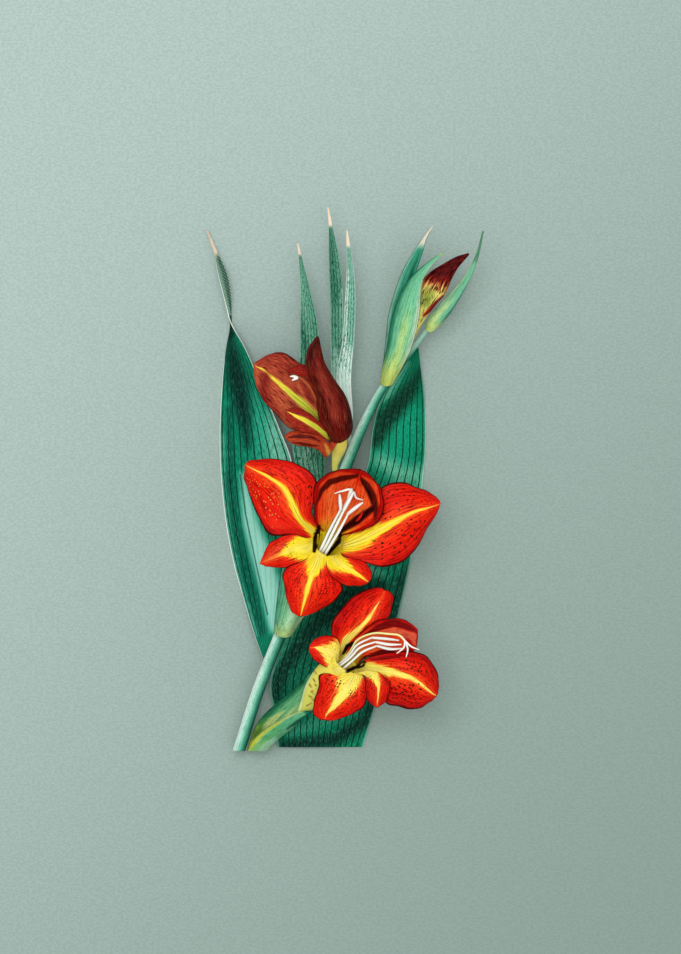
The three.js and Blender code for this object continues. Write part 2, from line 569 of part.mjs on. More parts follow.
const HALF_TEPALS = [
  // Left wing, its inner face turned up
  [
    ...throatRows(HALF_THROAT, 150, 34),
    [[-11, 17.5, 26.4], [-9, 22.5, 25.9], [-4, 25, 26.2]],
    [[-17.5, 18.8, 28], [-14.5, 28.6, 28], [-7.5, 34, 29]],
    [[-23, 21.2, 29], [-19.8, 33, 28.5], [-11.5, 41, 30.4]],
    [[-28, 26.8, 30], [-24.8, 37.3, 29], [-18.5, 47, 31]],
    [[-32.6, 31.8, 31], [-29, 40.8, 30], [-24.8, 51, 31.2]],
    [[-35.4, 37.2, 31], [-32.6, 44, 31], [-30.5, 50.2, 31]],
    [[-36.4, 42.5, 31], [-35.2, 45.2, 31.3], [-34.6, 47.9, 31]],
    tip(-36.3, 46.6, 31, 0.7, 0.7),
  ],
  // Hood, its outer face turned up
  [
    ...throatRows(HALF_THROAT, 270, -60),
    [[-5.6, 16.2, 29], [-1.8, 16.2, 31.5], [1.8, 17.4, 29]],
    [[-9.8, 22.5, 31.6], [-3.5, 21.5, 35.4], [3, 21.6, 31]],
    [[-11, 28.5, 33], [-4.2, 28, 37.4], [2.4, 27.6, 32]],
    [[-11.7, 34.4, 34.4], [-6, 34.4, 38.4], [-0.2, 34.2, 33.5]],
    [[-14, 40.2, 35.6], [-8.8, 40.4, 38.9], [-4.4, 40.2, 35]],
    [[-15.5, 46.5, 36], [-11.5, 46.2, 38.9], [-7.6, 46, 36]],
    [[-14.9, 52, 36.6], [-12, 52, 38.3], [-9.4, 51.8, 36.8]],
    [[-12.6, 55.8, 37], [-11.4, 55.8, 37.6], [-10.2, 55.8, 37]],
    tip(-10.9, 57.4, 37),
  ],
  // Small front tepal
  [
    ...throatRows(HALF_THROAT, 195, 30),
    [[-9, 16.8, 29.5], [-8, 18.4, 31], [-7.5, 19.8, 31.5]],
    [[-13.5, 18.5, 31.5], [-12, 21.5, 33], [-11, 24, 33]],
    [[-18, 19.4, 33], [-16.4, 24.1, 34.3], [-14.8, 27, 34]],
    [[-21.8, 22.2, 33.8], [-20, 25.8, 34.6], [-18.6, 28.8, 34]],
    [[-23.6, 25, 34], [-22.4, 27, 34.3], [-21.4, 28.7, 34]],
    tip(-23.4, 27.4, 34, 0.6, 0.8),
  ],
  // Lower tepal
  [
    ...throatRows(HALF_THROAT, 235, 34),
    [[-7.4, 9.2, 26.5], [-6.6, 12, 28], [-6.4, 15, 29]],
    [[-10.6, 12, 28.5], [-10.2, 14.8, 30], [-9.6, 17.2, 30]],
    [[-14.6, 13.3, 30], [-14.4, 16.2, 31.2], [-14, 18.9, 31]],
    [[-19, 13.8, 31], [-19, 16.8, 32], [-19, 19.6, 31.5]],
    [[-22.2, 15.3, 31.3], [-22, 17.3, 31.9], [-22.2, 19.2, 31.5]],
    tip(-24, 17.5, 31.2, 0.2, 1),
  ],
  // Right wing, mostly behind the hood
  [
    ...throatRows(HALF_THROAT, 56, 28),
    [[-7, 24, 32.2], [-6.5, 27, 33.4], [-5, 29, 32.8]],
    [[-11, 32, 32], [-9.8, 35, 33], [-7, 37, 32]],
    [[-14.8, 40.4, 33.2], [-13, 42.2, 34], [-10.5, 43.6, 33.4]],
    [[-17.6, 41.6, 33.6], [-17.2, 43.8, 34.2], [-17, 46.2, 33.6]],
    [[-20.6, 42.6, 33.4], [-20.4, 43.9, 33.8], [-20.2, 45.2, 33.4]],
    tip(-23.6, 43.8, 33.2, 0, 1),
  ],
  // Back tepal, under the left wing
  [
    ...throatRows(HALF_THROAT, 170, 28),
    [[-9.5, 18, 24.4], [-8.5, 21, 24], [-6.5, 24, 24.2]],
    [[-15.5, 22, 25.6], [-13.5, 27, 25.2], [-10, 31, 25.8]],
    [[-21, 27, 26.6], [-18.5, 32.5, 26.2], [-14.5, 37, 26.8]],
    [[-25.5, 33.5, 27.6], [-23.5, 37.5, 27.2], [-20, 41, 27.8]],
    tip(-28, 41, 28, 0.8, 0.8),
  ],
];

function perianth(tube, tepals) {
  const blades = tepals.map((rows) => blade(rows, PETAL_THICKNESS, PETAL_GRID));
  return joined([throat(tube), ...blades]);
}

addPiece('upper_perianth', perianth(UPPER_THROAT, UPPER_TEPALS), 'tepal');
addPiece('lower_perianth', perianth(LOWER_THROAT, LOWER_TEPALS), 'tepal');
addPiece('half_open_perianth', perianth(HALF_THROAT, HALF_TEPALS), 'half_open');

// Stamens: a filament that rises from the wall of the tube, with an anther at its end.
// Each root is given by its angle round the tube.

function wallPoint(tube, t, angle, radius) {
  return ringPoint(ringFrame(tube.path, t), radius, THREE.MathUtils.degToRad(angle)).toArray();
}

const STAMEN_ROOT = { upper: { t: 0.72, radius: 2 }, lower: { t: 0.74, radius: 2.2 } };

const UPPER_STAMENS = [
  {
    root: 175,
    filament: [[-9.6, -27.4, 36.6], [-6, -20, 41.6], [-2.1, -12.4, 43.4]],
    anther: [[-1.7, -11.6, 43.6], [-1.9, -8.4, 44.4], [-2.2, -5.6, 44.8]],
  },
  {
    root: 235,
    filament: [[-8, -27.1, 37.4], [-4.4, -20, 43.2], [-0.6, -12.4, 45.2]],
    anther: [[-0.2, -11.5, 45.4], [1.8, -7.8, 46.2], [3.6, -4.6, 46.6]],
  },
  {
    root: 300,
    filament: [[-7, -28, 37.2], [-2.6, -20.6, 41.8], [1, -14, 43.2]],
    anther: [[1.5, -13.2, 43.4], [4.4, -10.9, 44], [7.2, -8.9, 44.4]],
  },
];

const LOWER_STAMENS = [
  {
    root: 150,
    filament: [[0.8, -71, 37.6], [4.8, -65.9, 42.6], [10.6, -62.9, 45.6]],
    anther: [[11.6, -63, 46], [16.8, -63.4, 47.4], [21.6, -64, 48]],
  },
  {
    root: 210,
    filament: [[1.3, -71.6, 38.7], [5.8, -67, 44.2], [12, -64.6, 47.4]],
    anther: [[13, -64.8, 47.8], [17.6, -65.6, 49.2], [22.6, -65.6, 49.8]],
  },
  {
    root: 280,
    filament: [[2.2, -72.8, 38.8], [7, -68.6, 43.6], [12.6, -66.2, 46]],
    anther: [[13.6, -66.4, 46.4], [18, -67.4, 47.4], [23, -67.2, 48.2]],
  },
];

const FILAMENT_SHAPE = [0.9, 1, 1, 0.8];
const ANTHER_SHAPE = [0.5, 1, 0.45];

function addStamens(flower, tube, stamens) {
  const { t, radius } = STAMEN_ROOT[flower];
  const filamentRadii = FILAMENT_SHAPE.map((share) => share * FILAMENT_RADIUS);
  const antherRadii = ANTHER_SHAPE.map((share) => share * ANTHER_RADIUS);
  stamens.forEach(({ root, filament, anther }, index) => {
    const path = [wallPoint(tube, t, root, radius), ...filament];
    addPiece(`${flower}_filament_${index + 1}`, rod(path, filamentRadii, FILAMENT_MESH), 'filament');
    addPiece(`${flower}_anther_${index + 1}`, rod(anther, antherRadii, ANTHER_MESH), 'anther');
  });
}

addStamens('upper', UPPER_THROAT, UPPER_STAMENS);
addStamens('lower', LOWER_THROAT, LOWER_STAMENS);

// Styles: a thread from the floor of the tube that ends in three stigma branches

function style(tube, roots, thread, branches) {
  const path = [...roots.map(({ t, angle, radius }) => wallPoint(tube, t, angle, radius)), ...thread];
  const stalk = rod(path, path.map(() => STYLE_RADIUS), STYLE_MESH);
  const stigmas = branches.map((branch) => (
    rod(branch, branch.map(() => STIGMA_RADIUS), STIGMA_MESH)
  ));
  return joined([stalk, ...stigmas]);
}

// Each style starts at these places inside its tube.
const STYLE_ROOTS = {
  upper: [{ t: 0.41, angle: 0, radius: 0 }, { t: 0.62, angle: 60, radius: 0.3 }],
  lower: [{ t: 0.41, angle: 0, radius: 0 }, { t: 0.66, angle: 60, radius: 0.4 }],
  halfOpen: [{ t: 0.62, angle: 0, radius: 0 }],
};

const UPPER_STYLE = [
  [-8.2, -26, 36], [-4.8, -19.4, 39.4], [-1.4, -12.6, 41.2], [1.2, -7.6, 42.4],
];
const UPPER_STIGMAS = [
  [[1.1, -7.8, 42.4], [-1, -6.6, 42.4], [-4.3, -5.4, 42.6]],
  [[1.1, -7.8, 42.4], [1.7, -5.6, 43.6], [2.3, -3.4, 44.6]],
  [[1.1, -7.8, 42.4], [4, -7.2, 42.4], [7.2, -8, 42.2]],
];
const LOWER_STYLE = [
  [1, -69.8, 36.4], [5, -63.9, 41.2], [11.2, -61.2, 45.4],
  [17.4, -61.4, 48.2], [21.6, -62, 49], [24, -64.2, 49.6],
];
const LOWER_STIGMAS = [
  [[23.9, -64.1, 49.6], [26.4, -66.4, 50], [29.6, -67.7, 50]],
  [[23.9, -64.1, 49.6], [25, -67.4, 50.2], [24.4, -70.6, 49.8]],
  [[23.9, -64.1, 49.6], [23.4, -66.8, 51], [20.6, -69.2, 50.6]],
];
const HALF_STYLE = [
  [-3.8, 17, 26.4], [-6.6, 21, 27.6], [-10, 29, 29.8],
  [-14, 37, 31.4], [-17.4, 40.6, 32.2], [-19, 41, 32.6],
];
const HALF_STIGMAS = [
  [[-18.9, 40.9, 32.6], [-20.4, 41.4, 33], [-22, 41.4, 33.4]],
  [[-18.9, 40.9, 32.6], [-20, 40.4, 32.8], [-21.2, 39.8, 33]],
];

addPiece('upper_style', style(UPPER_THROAT, STYLE_ROOTS.upper, UPPER_STYLE, UPPER_STIGMAS), 'style');
addPiece('lower_style', style(LOWER_THROAT, STYLE_ROOTS.lower, LOWER_STYLE, LOWER_STIGMAS), 'style');
addPiece('half_open_style', style(HALF_THROAT, STYLE_ROOTS.halfOpen, HALF_STYLE, HALF_STIGMAS), 'style');

// Ovaries, inside the bracts and under the tubes

const OVARY_SHAPE = [0.5, 1, 1, 0.7];
const OVARY_RADIUS = 1.2;
const OVARIES = {
  upper_ovary: [[-24.9, -62, 16.6], [-24.3, -60.8, 17.3], [-23.7, -59.8, 17.9], [-23, -58.7, 18.6]],
  lower_ovary: [[-37.2, -108, 6.6], [-36.2, -106.9, 7.2], [-34.8, -105.5, 8], [-33.2, -104.1, 9]],
};

for (const [name, path] of Object.entries(OVARIES)) {
  const radii = OVARY_SHAPE.map((share) => share * OVARY_RADIUS);
  addPiece(name, rod(path, radii, OVARY_MESH), 'ovary');
}

// Bud

const BUD_ROWS = [
  [[17, 40.6, 18.7], [18.4, 40, 18.7]],
  [[20.4, 49, 20.2], [23.6, 47.8, 20.2]],
  [[23.6, 56.4, 21.6], [27, 54.8, 21.6]],
  [[26.2, 64, 22.4], [31, 62.6, 22.4]],
  [[28.4, 71, 23], [36.8, 70.4, 23]],
  [[30, 78, 23.4], [40.4, 74.4, 23.4]],
  [[34, 83, 23.6], [42.4, 79.4, 23.6]],
  [[39.4, 86.5, 23.8], [45, 84.4, 23.8]],
  [[44.6, 89.4, 24], [47.4, 87.4, 24]],
  [[49.4, 90.8, 24], [49.8, 90.2, 24]],
];
const BUD_DEPTH = 0.62;

addPiece('bud', pod(BUD_ROWS, BUD_DEPTH, BUD_MESH), 'bud');

// Bracts

const BRACTS = {
  upper_bract_outer: [
    [[-28.2, -61.8, 14.6], [-24.4, -62.9, 20], [-21.3, -62.1, 15.2]],
    [[-28.2, -58, 15.4], [-23.2, -58.4, 23.4], [-18.8, -58, 15.8]],
    [[-27.5, -51, 17.4], [-20.4, -51, 26], [-14.4, -51.6, 17.4]],
    [[-26.5, -43, 19.5], [-17.2, -43, 29], [-10.4, -44, 19]],
    [[-25.4, -36, 22.5], [-14.8, -36.6, 33.6], [-6.6, -39.8, 24.4]],
    [[-24.2, -30.5, 25.5], [-19.8, -31, 31.4], [-16.4, -33.6, 33]],
    tip(-21, -25.5, 29),
  ],
  upper_bract_inner: [
    [[-24, -61.4, 15.1], [-22.8, -61.6, 14.8], [-21.6, -61.2, 14.5]],
    [[-22.8, -52, 17], [-20, -52, 16], [-17.8, -52, 16.8]],
    [[-19, -44, 19], [-16.6, -44, 18], [-14.2, -44.5, 18.8]],
    [[-16, -36.5, 21], [-13.8, -36.5, 20.2], [-12, -37.2, 20.8]],
    tip(-11.4, -30.8, 22.2),
  ],
  lower_bract_outer: [
    [[-39.2, -108.5, 6], [-36, -108.5, 4], [-32, -108.5, 4.6]],
    [[-36.9, -101.2, 8], [-32.5, -103, 5.4], [-28.5, -105, 6.4]],
    [[-34, -95.9, 10.5], [-28, -98.5, 8], [-24, -101, 9.2]],
    [[-28.8, -90.6, 13.5], [-23, -93.5, 12], [-19, -96, 13]],
    [[-22.4, -85.3, 17], [-18, -88.6, 14.9], [-15, -91, 15.4]],
    [[-17.2, -81, 20], [-15, -83.5, 18], [-12.8, -86, 18]],
    tip(-13.8, -77.4, 21.4, 0.5, -0.5),
  ],
  lower_bract_inner: [
    [[-39, -108.4, 7.4], [-35, -108.5, 10.4], [-31, -108.4, 6]],
    [[-36.3, -104, 11], [-31.5, -105, 14.4], [-27.6, -104.6, 10]],
    [[-31.5, -99.8, 14.6], [-27.4, -101, 18.4], [-24, -101.6, 12.8]],
    [[-25.6, -96, 18.8], [-22.3, -97.4, 22], [-19.6, -98, 17.4]],
    [[-19.4, -93.1, 22.6], [-17.6, -94.3, 24], [-16.6, -94.9, 22]],
    tip(-13.2, -92.4, 24, 0.4, -0.9),
  ],
  bud_bract_outer: [
    [[14.2, 39, 14.2], [16.4, 38.6, 14.4], [18.6, 39.4, 14.2]],
    [[15.2, 46, 15.6], [18.6, 46, 15], [22, 46.5, 15.6]],
    [[16.3, 56, 17], [20.2, 56, 15.8], [24, 56, 17]],
    [[17.4, 66, 18], [21.5, 65.6, 16.6], [25.6, 65.4, 18]],
    [[19.9, 75.4, 19], [23.6, 75, 17.8], [27, 74.6, 19]],
    [[23.2, 84, 20], [26, 83.4, 19], [28.4, 83, 20]],
    [[27.2, 91, 21], [29.2, 90.6, 20.4], [30.9, 90.6, 21]],
    [[31.4, 97.2, 22], [32.2, 96.8, 21.8], [32.6, 96.4, 22]],
    tip(35.1, 101.6, 23, 0.8, -0.6),
  ],
  bud_bract_inner: [
    [[14.2, 38.4, 15.4], [16.5, 37.6, 19], [19, 38.4, 15.4]],
    [[14.9, 44.5, 17.4], [18.3, 44, 22.6], [22.2, 44, 19.4]],
    [[16.6, 52, 18.8], [21, 51.5, 25], [26, 51.5, 22.4]],
    [[17.8, 60, 19.6], [23, 59.6, 27], [28.4, 59.4, 25]],
    [[19.6, 68, 20.4], [24.8, 67.6, 28.6], [29.8, 67.4, 26.6]],
    [[22.2, 74.8, 21.4], [26.8, 74.6, 28.8], [30.2, 74.2, 27.4]],
    [[26, 80.8, 23], [29, 80.2, 28.2], [31.2, 80.2, 27]],
    [[31, 85.4, 24.5], [32.4, 84.8, 27], [33.9, 84.8, 26.6]],
    [[36.2, 89.2, 25.5], [36.8, 88.9, 26], [37, 88.6, 25.8]],
    tip(39.4, 90.8, 25.8, 0.7, -0.7),
  ],
  tip_bract: [
    [[32.2, 61, 15.4], [33.8, 59.3, 16.4], [36, 60.4, 15.4]],
    [[33.6, 65, 16.2], [36.6, 64, 18.4], [39.4, 63.4, 16.4]],
    [[38, 70.3, 17.6], [41, 69, 20], [43.2, 68.4, 18]],
    [[43.4, 76.2, 19.2], [45.6, 75, 21.2], [47.4, 75.4, 19.5]],
    [[48.2, 82.2, 21], [49.8, 81.6, 22.3], [50.6, 82, 21]],
    [[52.4, 90, 22.5], [52.9, 89.8, 23], [53.4, 89.6, 22.5]],
    tip(55.3, 99.6, 24, 1, -0.2),
  ],
};

for (const [name, rows] of Object.entries(BRACTS)) {
  addPiece(name, blade(rows, BRACT_THICKNESS, BRACT_GRID), 'bract');
}

export default gladiolus;
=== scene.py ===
"""Looks of a cut gladiolus that lies on a pale surface, seen from straight above.

Leaves, bracts and tepals are tables of rows from base to tip. A row holds x, y and z of its left
margin, of its rib and of its right margin, in millimetres in the part's own frame. A painted
stroke holds its colour, its strength, its softness and then x, y and width along its line.
Colours are red, green and blue from 0 to 255, as displayed.
"""

import math

import bpy
import numpy as np
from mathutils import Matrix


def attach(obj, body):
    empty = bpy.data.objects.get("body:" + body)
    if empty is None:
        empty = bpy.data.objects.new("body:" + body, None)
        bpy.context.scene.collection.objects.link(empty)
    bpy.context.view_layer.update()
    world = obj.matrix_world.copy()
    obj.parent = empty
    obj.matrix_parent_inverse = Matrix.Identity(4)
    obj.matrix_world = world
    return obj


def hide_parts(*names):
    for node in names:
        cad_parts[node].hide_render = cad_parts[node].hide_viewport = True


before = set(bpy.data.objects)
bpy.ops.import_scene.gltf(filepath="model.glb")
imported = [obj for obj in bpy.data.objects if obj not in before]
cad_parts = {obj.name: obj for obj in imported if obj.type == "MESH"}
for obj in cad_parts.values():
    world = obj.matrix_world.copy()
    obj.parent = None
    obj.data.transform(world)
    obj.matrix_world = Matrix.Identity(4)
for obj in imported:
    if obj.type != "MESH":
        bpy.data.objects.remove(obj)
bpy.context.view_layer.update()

MM = 0.001

# Driving dimensions, in millimetres
PETAL_THICKNESS = 0.6
LEAF_THICKNESS = 0.7
LEAF_LOWEST = 0.4
BRACT_THICKNESS = 0.6
MARGIN_SHARE = 0.45
TOP_LOWEST = 0.05
THROAT_WALL = 1.3
BASE_WALL_SHARE = 0.55
MOUTH_INSET = 0.35
LINING_FLARE = 0.4
TIP_HALF_WIDTH = 0.3
STYLE_RADIUS = 0.4
STIGMA_TIP_RADIUS = 0.2
FILAMENT_RADII = {"upper": 0.64, "lower": 0.52}
ANTHER_RADII = {"upper": 0.68, "lower": 0.52}
STIGMA_RADII = {"upper": 0.5, "lower": 0.38, "half_open": 0.6}
OVARY_RADIUS = 1.2
FILAMENT_SHAPE = [0.9, 1, 1, 0.7]
ANTHER_SHAPE = [0.7, 1, 1.15, 0.5]
OVARY_SHAPE = [0.5, 1, 1, 0.7]
STEM_RADII = [2.5, 2.45, 2.4, 2.35, 2.3, 2.2, 2, 1.7, 1.5, 1.25, 0.9]
CUT_Y = -108.6
BUD_DEPTH = 0.62
BUD_FURL = 0.035

# Where along the mouth of its tube a tepal starts
TEPAL_ROOTS = [0.93, 1]

# How many spaces each fine mesh has, along and across
PETAL_GRID = (84, 56)
LEAF_GRID = (220, 44)
WIDE_LEAF_GRID = (300, 96)
BRACT_GRID = (120, 36)
TUBE_STEPS = 70
LINING_STEPS = 24
TUBE_SIDES = 72
STEM_GRID = (260, 48)
BUD_GRID = (220, 96)

# Folds of the tepals, in millimetres high and in waves along the edge, and the width of the crease
# along the rib as a share of the tepal's half width
CREASE_WIDTH = 0.07
OPEN_SHAPE = {"ruffle": 0.3, "waves": 4, "crease": 0.25}
HALF_OPEN_SHAPE = {"ruffle": 0.15, "waves": 3, "crease": 0.2}

# Places on the leaves, in millimetres
TWIST_Y = 64
FEW_VEINS_Y = -4
MANY_VEINS_Y = -30
WIDE_LEAF_HALF = 10
HATCH_PITCH = 1.1

# Fine lines across a tepal's throat and round the lining of a tube
TEPAL_LINES = 13
HALF_OPEN_LINES = 17
LINING_LINES = 26

# The bud is wine red above WINE_Y and darker above DARK_Y, where x is BUD_X. Both limits slope.
BUD_X = 36
BUD_SLOPE = 0.28
WINE_Y = 77.4
DARK_Y = 80

# The view: straight down on the middle of the picture
VIEW_CENTRE = (-1.8, 1.2)
VIEW_HEIGHT = 381.6
SENSOR_HEIGHT = 36.0
LENS = 800.0
FOCUS_HEIGHT = 25.0

# The floor, in metres, and the lamps: name, place, size and power
FLOOR_HALF = 3.0
FLOOR_Z = -0.0002
# Painted light on the floor: its lit colour towards the upper left, its shaded colour towards the lower
# right, and the colour of its fibres
FLOOR_LIT = (179, 199, 193)
FLOOR_SHADED = (136, 157, 148)
FLOOR_FIBRE = (100, 120, 112)
WORLD_STRENGTH = 0.58
LAMPS = [
    ("key", (-0.3, 0.3, 2.2), 1.2, 22.0),
    ("fill", (0.4, -0.3, 2.0), 1.4, 8.0),
]

INK = (24, 4, 6)
BROWN = (140, 70, 30)
SCARLET = (246, 30, 8)
CRIMSON = (196, 8, 8)
FLAME = (255, 96, 34)
ORANGE = (255, 126, 56)
YELLOW = (250, 226, 40)
PALE_YELLOW = (250, 238, 130)
OLIVE = (120, 110, 10)
MAROON = (92, 12, 10)
BRICK = (168, 58, 34)
DEEP_GREEN = (0, 42, 34)
TEAL = (0, 104, 80)
MID_GREEN = (8, 146, 108)
MINT = (140, 212, 184)
PALE_MINT = (196, 228, 212)
WHITISH = (244, 248, 238)
TAN = (250, 230, 204)
LIME = (186, 206, 66)
PALE_LIME = (214, 224, 120)
BRACT_GREEN = (84, 168, 122)

# Materials made by smooth_material: darker streaks, lighter streaks, fineness, depth and bump
SMOOTH_SKINS = {
    "half_open_velvet": ((110, 40, 36), (150, 80, 40), 3, 0.9, 0.3),
    "bract_skin": ((130, 185, 150), (60, 100, 60), 2.6, 0.8, 0.4),
    "stem_skin": ((150, 180, 170), (60, 80, 70), 3, 0.5, 0.3),
    "bud_skin": ((90, 40, 30), (150, 40, 20), 2.8, 1, 0.3),
    "filament_skin": ((220, 224, 210), (40, 40, 30), 3, 0.3, 0.1),
    "style_skin": ((220, 220, 170), (50, 50, 20), 3, 0.3, 0.1),
    "ovary_skin": ((170, 190, 130), (50, 60, 20), 3, 0.4, 0.3),
}

# Thin rods with painted light and shade: the colours of their shaded sides and their lit top, and how far
# up the one turns into the other
ROD_LIGHT_AND_SHADE = {
    "filament": ((70, 70, 40), (254, 254, 246), 0.2, 0.75),
    "pale": ((90, 88, 60), (255, 255, 250), 0, 0.7),
    "style": ((214, 206, 70), (250, 246, 170), 0, 0.6),
    "rusty": ((150, 60, 36), (190, 96, 56), 0.2, 0.8),
}
STYLE_END = (250, 250, 232)
OVARY_BASE = (120, 170, 70)
OVARY_TOP = (190, 206, 110)

# Painted light and shade across the stem, from its lit left side to its shaded right side, and the
# colours of its ends
STEM_LIGHT_AND_SHADE = [
    (-1, (236, 248, 242)), (-0.45, (192, 234, 216)), (0, (124, 196, 168)),
    (0.5, (54, 140, 114)), (0.8, (30, 104, 86)), (1, (8, 56, 46)),
]
STEM_ENDS = [(196, 206, 150), (150, 190, 130)]


def tip(x, y, z, along_x=1, along_y=0):
    """The last row of a blade, as wide as a tip, along the direction given."""
    dx = TIP_HALF_WIDTH * along_x
    dy = TIP_HALF_WIDTH * along_y
    return x - dx, y - dy, z, x, y, z, x + dx, y + dy, z


# Tepals. Each starts with its looks: the turn and half spread of its root in the tube, the strength
# of its dark and pale dots and of its crimson, and the half widths of its yellow rib at RIB_PLACES.
# Gain and flare widen it, all along or at its base.
UPPER_TEPALS = [
    # Left wing
    [{"root": (142, 33), "dark": 0.5, "pale": 1, "deep": 0.5,
      "rib": [1.5, 1.2, 0.6, 0.3, 0.13, 0.09, 0.05, 0.03, 0]},
     (-20.5,-22,37.5, -17.6,-16,38, -13.2,-13,39.5),
     (-30.2,-21.8,39, -21.6,-8.4,40.5, -10.8,-3.4,42.4),
     (-34.9,-13.7,38, -25,-2.8,42, -13.2,2.6,43),
     (-38.2,-6,36.5, -30.5,1.3,42.5, -20.1,6.8,42.6),
     (-40,0,36.2, -35.5,3.8,41.8, -29.5,8.4,40.8),
     (-40,4.5,38.4, -39,5.6,40.6, -37.2,7.9,39.5),
     tip(-39.6, 6.4, 40, 0.5, 0.6)],
    # Right wing
    [{"root": (5, 33), "dark": 1, "deep": 0.45, "flare": 0.14,
      "rib": [1.6, 1.4, 0.95, 0.62, 0.34, 0.13, 0.06, 0.03, 0]},
     (3.4,-18,38, 0.6,-26,37.4, 0.5,-30.2,38.4),
     (9.5,-9,40.4, 7.5,-23.6,39.6, 8.5,-32.6,39.4),
     (16,-2.8,41.4, 15,-19.4,41.5, 15.5,-34.1,39),
     (23.5,-1.3,40, 21.5,-15.8,42.5, 22.5,-32.4,37.5),
     (30,-3.7,38, 28,-12.6,42.5, 28.3,-27,36.5),
     (35,-5.8,38, 33.5,-11,41, 33.6,-18.3,37),
     (37.4,-7.8,39, 36.8,-9.9,39.8, 36.9,-12.6,38.3),
     tip(38, -9.4, 39, 0, -1)],
    # Hood
    [{"root": (76, 33), "hood": True},
     (-11.4,-17.5,40, -3.5,-17.5,34.6, 4.6,-20.8,41.5),
     (-12.6,-10,45, -1,-11.5,36.2, 11.8,-17.8,45),
     (-12.4,-4.2,48, 1.5,-5,38.5, 15.5,-11.5,48),
     (-9.6,1,50, 3.6,-0.5,42, 15,-5.5,50),
     (-4.5,3.4,51.5, 5,2.2,46.5, 12.4,-0.8,51),
     (1.5,4.5,51.5, 5.8,3.8,50, 9.5,2.4,51.3),
     tip(5.8, 4.1, 51.2, 1.6, -0.4)],
    # Lower left
    [{"root": (187, 27), "dark": 0.4, "deep": 0.3, "rib": [1.6, 1.6, 1.6, 1.6, 1.3, 0.7, 0.16, 0.06, 0]},
     (-14.5,-30.9,38.4, -15,-27.2,38.6, -15.8,-23,38.8),
     (-19,-33.2,39.4, -19.8,-27.3,40.4, -20.5,-21.6,40.6),
     (-24,-34.8,39.6, -24.5,-28.9,41.5, -26,-22.8,40.6),
     (-29,-34.9,38.6, -29,-31,40.5, -30,-25.2,39.2),
     (-32.2,-34.1,38.5, -32,-32.4,39.4, -32.6,-29.8,38.8),
     tip(-33.9, -33.3, 38.4, 0.3, 1)],
    # Lower middle
    [{"root": (243, 29), "dark": 0.9, "deep": 0.3,
      "rib": [1.6, 1.6, 1.5, 1.1, 0.45, 0.14, 0.08, 0.05, 0.03]},
     (-6.2,-33,39, -11,-32.5,38.6, -16.5,-31.5,38.6),
     (-5.5,-37.5,39, -12.6,-36.6,39.8, -22.5,-34,38.2),
     (-1.8,-41,38.2, -14,-40.2,40.6, -25,-38.5,37.6),
     (-0.9,-44.4,37, -15.4,-44.6,40.5, -24,-42.8,37.2),
     (-5,-48.7,35.5, -16.4,-48.8,39, -22.9,-48.5,36),
     (-11.8,-52.8,35, -17.2,-52,37, -21.4,-52.4,35.5),
     tip(-17.8, -54.5, 35.8, -2, 0)],
    # Lower right
    [{"root": (299, 27), "dark": 0.5, "deep": 0.5, "flare": 0.4,
      "rib": [1.6, 1.6, 1.6, 1.5, 1, 0.5, 0.16, 0.08, 0.03]},
     (-1.5,-30.5,39.4, -4,-31.8,39.4, -6.8,-34,39.8),
     (2.5,-31.8,41, -0.8,-34.2,41.4, -4.6,-38.3,40.4),
     (6.2,-32.2,41.2, 2.6,-36.1,42.2, -1,-41.1,39.8),
     (9,-34.4,40.4, 5.6,-38,41.6, 3,-42.2,39.2),
     (10.7,-37,39.6, 7.8,-39.6,40.4, 6.6,-42,39),
     (10.2,-39.9,39.3, 9.4,-40.7,39.4, 8.6,-41.3,39.2)],
]

